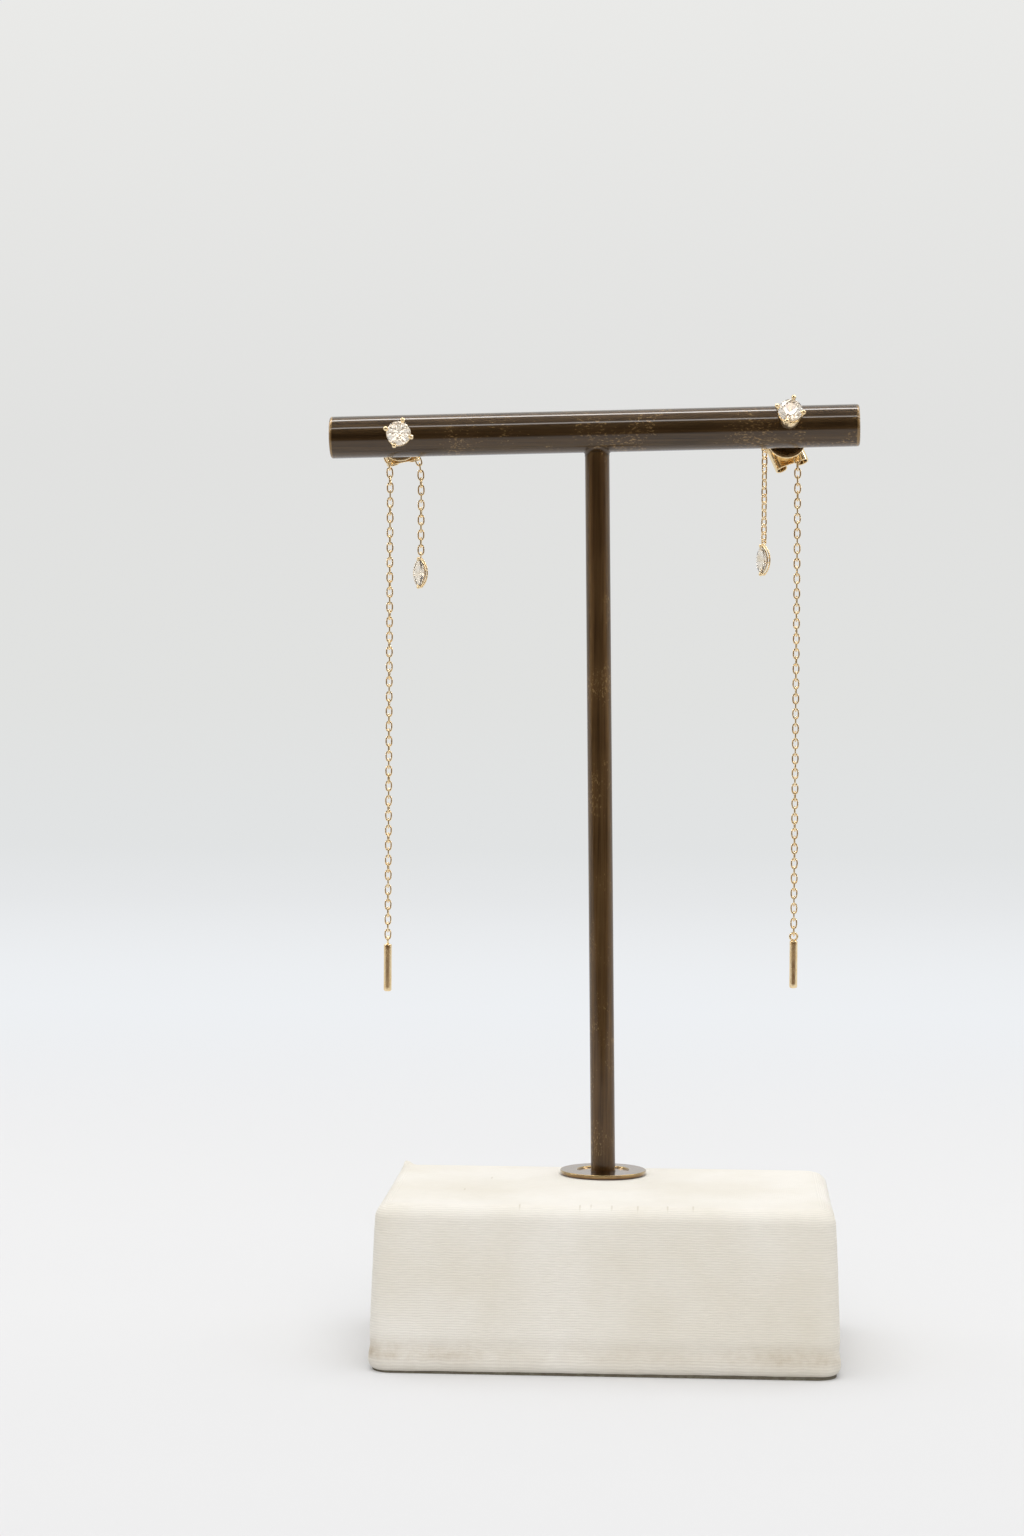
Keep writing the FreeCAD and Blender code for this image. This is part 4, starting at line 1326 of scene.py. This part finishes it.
def camera(studio):
    data = bpy.data.cameras.new("camera")
    data.sensor_fit = "VERTICAL"
    data.sensor_height = 36.0
    data.lens = studio.lens
    data.clip_start, data.clip_end = 0.01, 20.0
    view = bpy.data.objects.new("camera", data)
    bpy.context.scene.collection.objects.link(view)
    heading, dip, roll = studio.heading, studio.dip, studio.roll
    ahead = Vector((-math.sin(heading) * math.cos(dip), math.cos(heading) * math.cos(dip),
                    -math.sin(dip)))
    right = Vector((math.cos(heading), math.sin(heading), 0))
    above = right.cross(ahead)
    tilted_right = right * math.cos(roll) + above * math.sin(roll)
    tilted_up = above * math.cos(roll) - right * math.sin(roll)
    turn = Matrix((tilted_right, tilted_up, -ahead)).transposed().to_4x4()
    view.matrix_world = Matrix.Translation(Vector(studio.place)) @ turn
    bpy.context.scene.camera = view


# Operators

class STAND_OT_stage(bpy.types.Operator):
    """Makes the pale sweep, the soft lights and the camera"""
    bl_idname = "stand.stage"
    bl_label = "Stage"

    def execute(self, context):
        studio = context.scene.studio_settings
        context.scene.view_settings.view_transform = "Standard"
        backdrop(studio)
        room_light()
        area_light("softbox", (0.0, 0.05, 0.95), (0, 0.05, 0), (1.1, 1.0), studio.softbox)
        fill = area_light("front_fill", (0.15, -1.25, 0.75), (0, 0, 0.05), (0.9, 0.5), studio.fill,
                          WARM_FILL)
        fill.visible_transmission = False
        camera(studio)
        return {"FINISHED"}


class STAND_OT_base(bpy.types.Operator):
    """Makes the base's cloth cover and the pad's finish"""
    bl_idname = "stand.base"
    bl_label = "Base"

    def execute(self, context):
        finish = context.scene.stand_finish
        ribs_group()
        cloth_cover(finish)
        base_pad(finish)
        return {"FINISHED"}


class STAND_OT_rods(bpy.types.Operator):
    """Makes the washer, the post and the bar of aged brass"""
    bl_idname = "stand.rods"
    bl_label = "Post and bar"

    def execute(self, context):
        finish = context.scene.stand_finish
        streaks_group()
        washer(finish)
        post_and_bar(finish)
        return {"FINISHED"}


class EARRING_OT_metals(bpy.types.Operator):
    """Makes the gold and the clear stone"""
    bl_idname = "earring.metals"
    bl_label = "Gold and stone"

    def execute(self, context):
        jewel = context.scene.jewel_finish
        polish_group()
        gold_material(jewel)
        stone_material(jewel)
        return {"FINISHED"}


class EARRING_OT_stones(bpy.types.Operator):
    """Cuts the round stones and the marquise stones"""
    bl_idname = "earring.stones"
    bl_label = "Stones"

    def execute(self, context):
        stones(bpy.data.materials["clear stone"])
        return {"FINISHED"}


class EARRING_OT_settings(bpy.types.Operator):
    """Makes the claw settings of the studs and the rails of the drops"""
    bl_idname = "earring.settings"
    bl_label = "Settings"

    def execute(self, context):
        jewel = context.scene.jewel_finish
        gold = bpy.data.materials["polished gold"]
        stud_setting("left", jewel, gold, jewel.claw_turn_left)
        stud_setting("right", jewel, gold, jewel.claw_turn_right)
        for side in SIDES:
            drop_setting(side, gold)
        return {"FINISHED"}


class EARRING_OT_backs(bpy.types.Operator):
    """Makes the discs, rolled nuts and eyes behind the bar"""
    bl_idname = "earring.backs"
    bl_label = "Ear backs"

    def execute(self, context):
        jewel = context.scene.jewel_finish
        gold = bpy.data.materials["polished gold"]
        ear_back("left", gold, jewel.nut_turn_left)
        ear_back("right", gold, jewel.nut_turn_right)
        return {"FINISHED"}


class EARRING_OT_chains(bpy.types.Operator):
    """Makes the four chains and the threader bars"""
    bl_idname = "earring.chains"
    bl_label = "Chains"

    def execute(self, context):
        jewel = context.scene.jewel_finish
        gold = bpy.data.materials["polished gold"]
        tree = link_tree()
        for side in SIDES:
            chain(side + "_long_chain", tree, jewel, gold)
            chain(side + "_short_chain", tree, jewel, gold)
            threader_bar(side, gold)
        return {"FINISHED"}


class EARRING_PT_panel(bpy.types.Panel):
    """Sidebar panel with the finishes and the steps in order"""
    bl_idname = "EARRING_PT_panel"
    bl_label = "Earrings"
    bl_space_type = "VIEW_3D"
    bl_region_type = "UI"
    bl_category = "Earrings"

    def draw(self, context):
        layout = self.layout
        for settings in (context.scene.stand_finish, context.scene.jewel_finish,
                         context.scene.studio_settings):
            box = layout.box()
            for name in settings.bl_rna.properties.keys():
                if name not in ("rna_type", "name"):
                    box.prop(settings, name)
        for operator in OPERATORS:
            layout.operator(operator.bl_idname)


SETTINGS = {"stand_finish": StandFinish, "jewel_finish": JewelFinish,
            "studio_settings": StudioSettings}
OPERATORS = (STAND_OT_stage, STAND_OT_base, STAND_OT_rods, EARRING_OT_metals, EARRING_OT_stones,
             EARRING_OT_settings, EARRING_OT_backs, EARRING_OT_chains)


def register():
    for made in (*SETTINGS.values(), *OPERATORS, EARRING_PT_panel):
        bpy.utils.register_class(made)
    for name, group in SETTINGS.items():
        setattr(bpy.types.Scene, name, bpy.props.PointerProperty(type=group))


def unregister():
    for name in SETTINGS:
        delattr(bpy.types.Scene, name)
    for made in reversed((*SETTINGS.values(), *OPERATORS, EARRING_PT_panel)):
        bpy.utils.unregister_class(made)


def main():
    """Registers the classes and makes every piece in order."""
    register()
    bpy.ops.stand.stage()
    bpy.ops.stand.base()
    bpy.ops.stand.rods()
    bpy.ops.earring.metals()
    bpy.ops.earring.stones()
    bpy.ops.earring.settings()
    bpy.ops.earring.backs()
    bpy.ops.earring.chains()


if __name__ == "__main__":
    main()
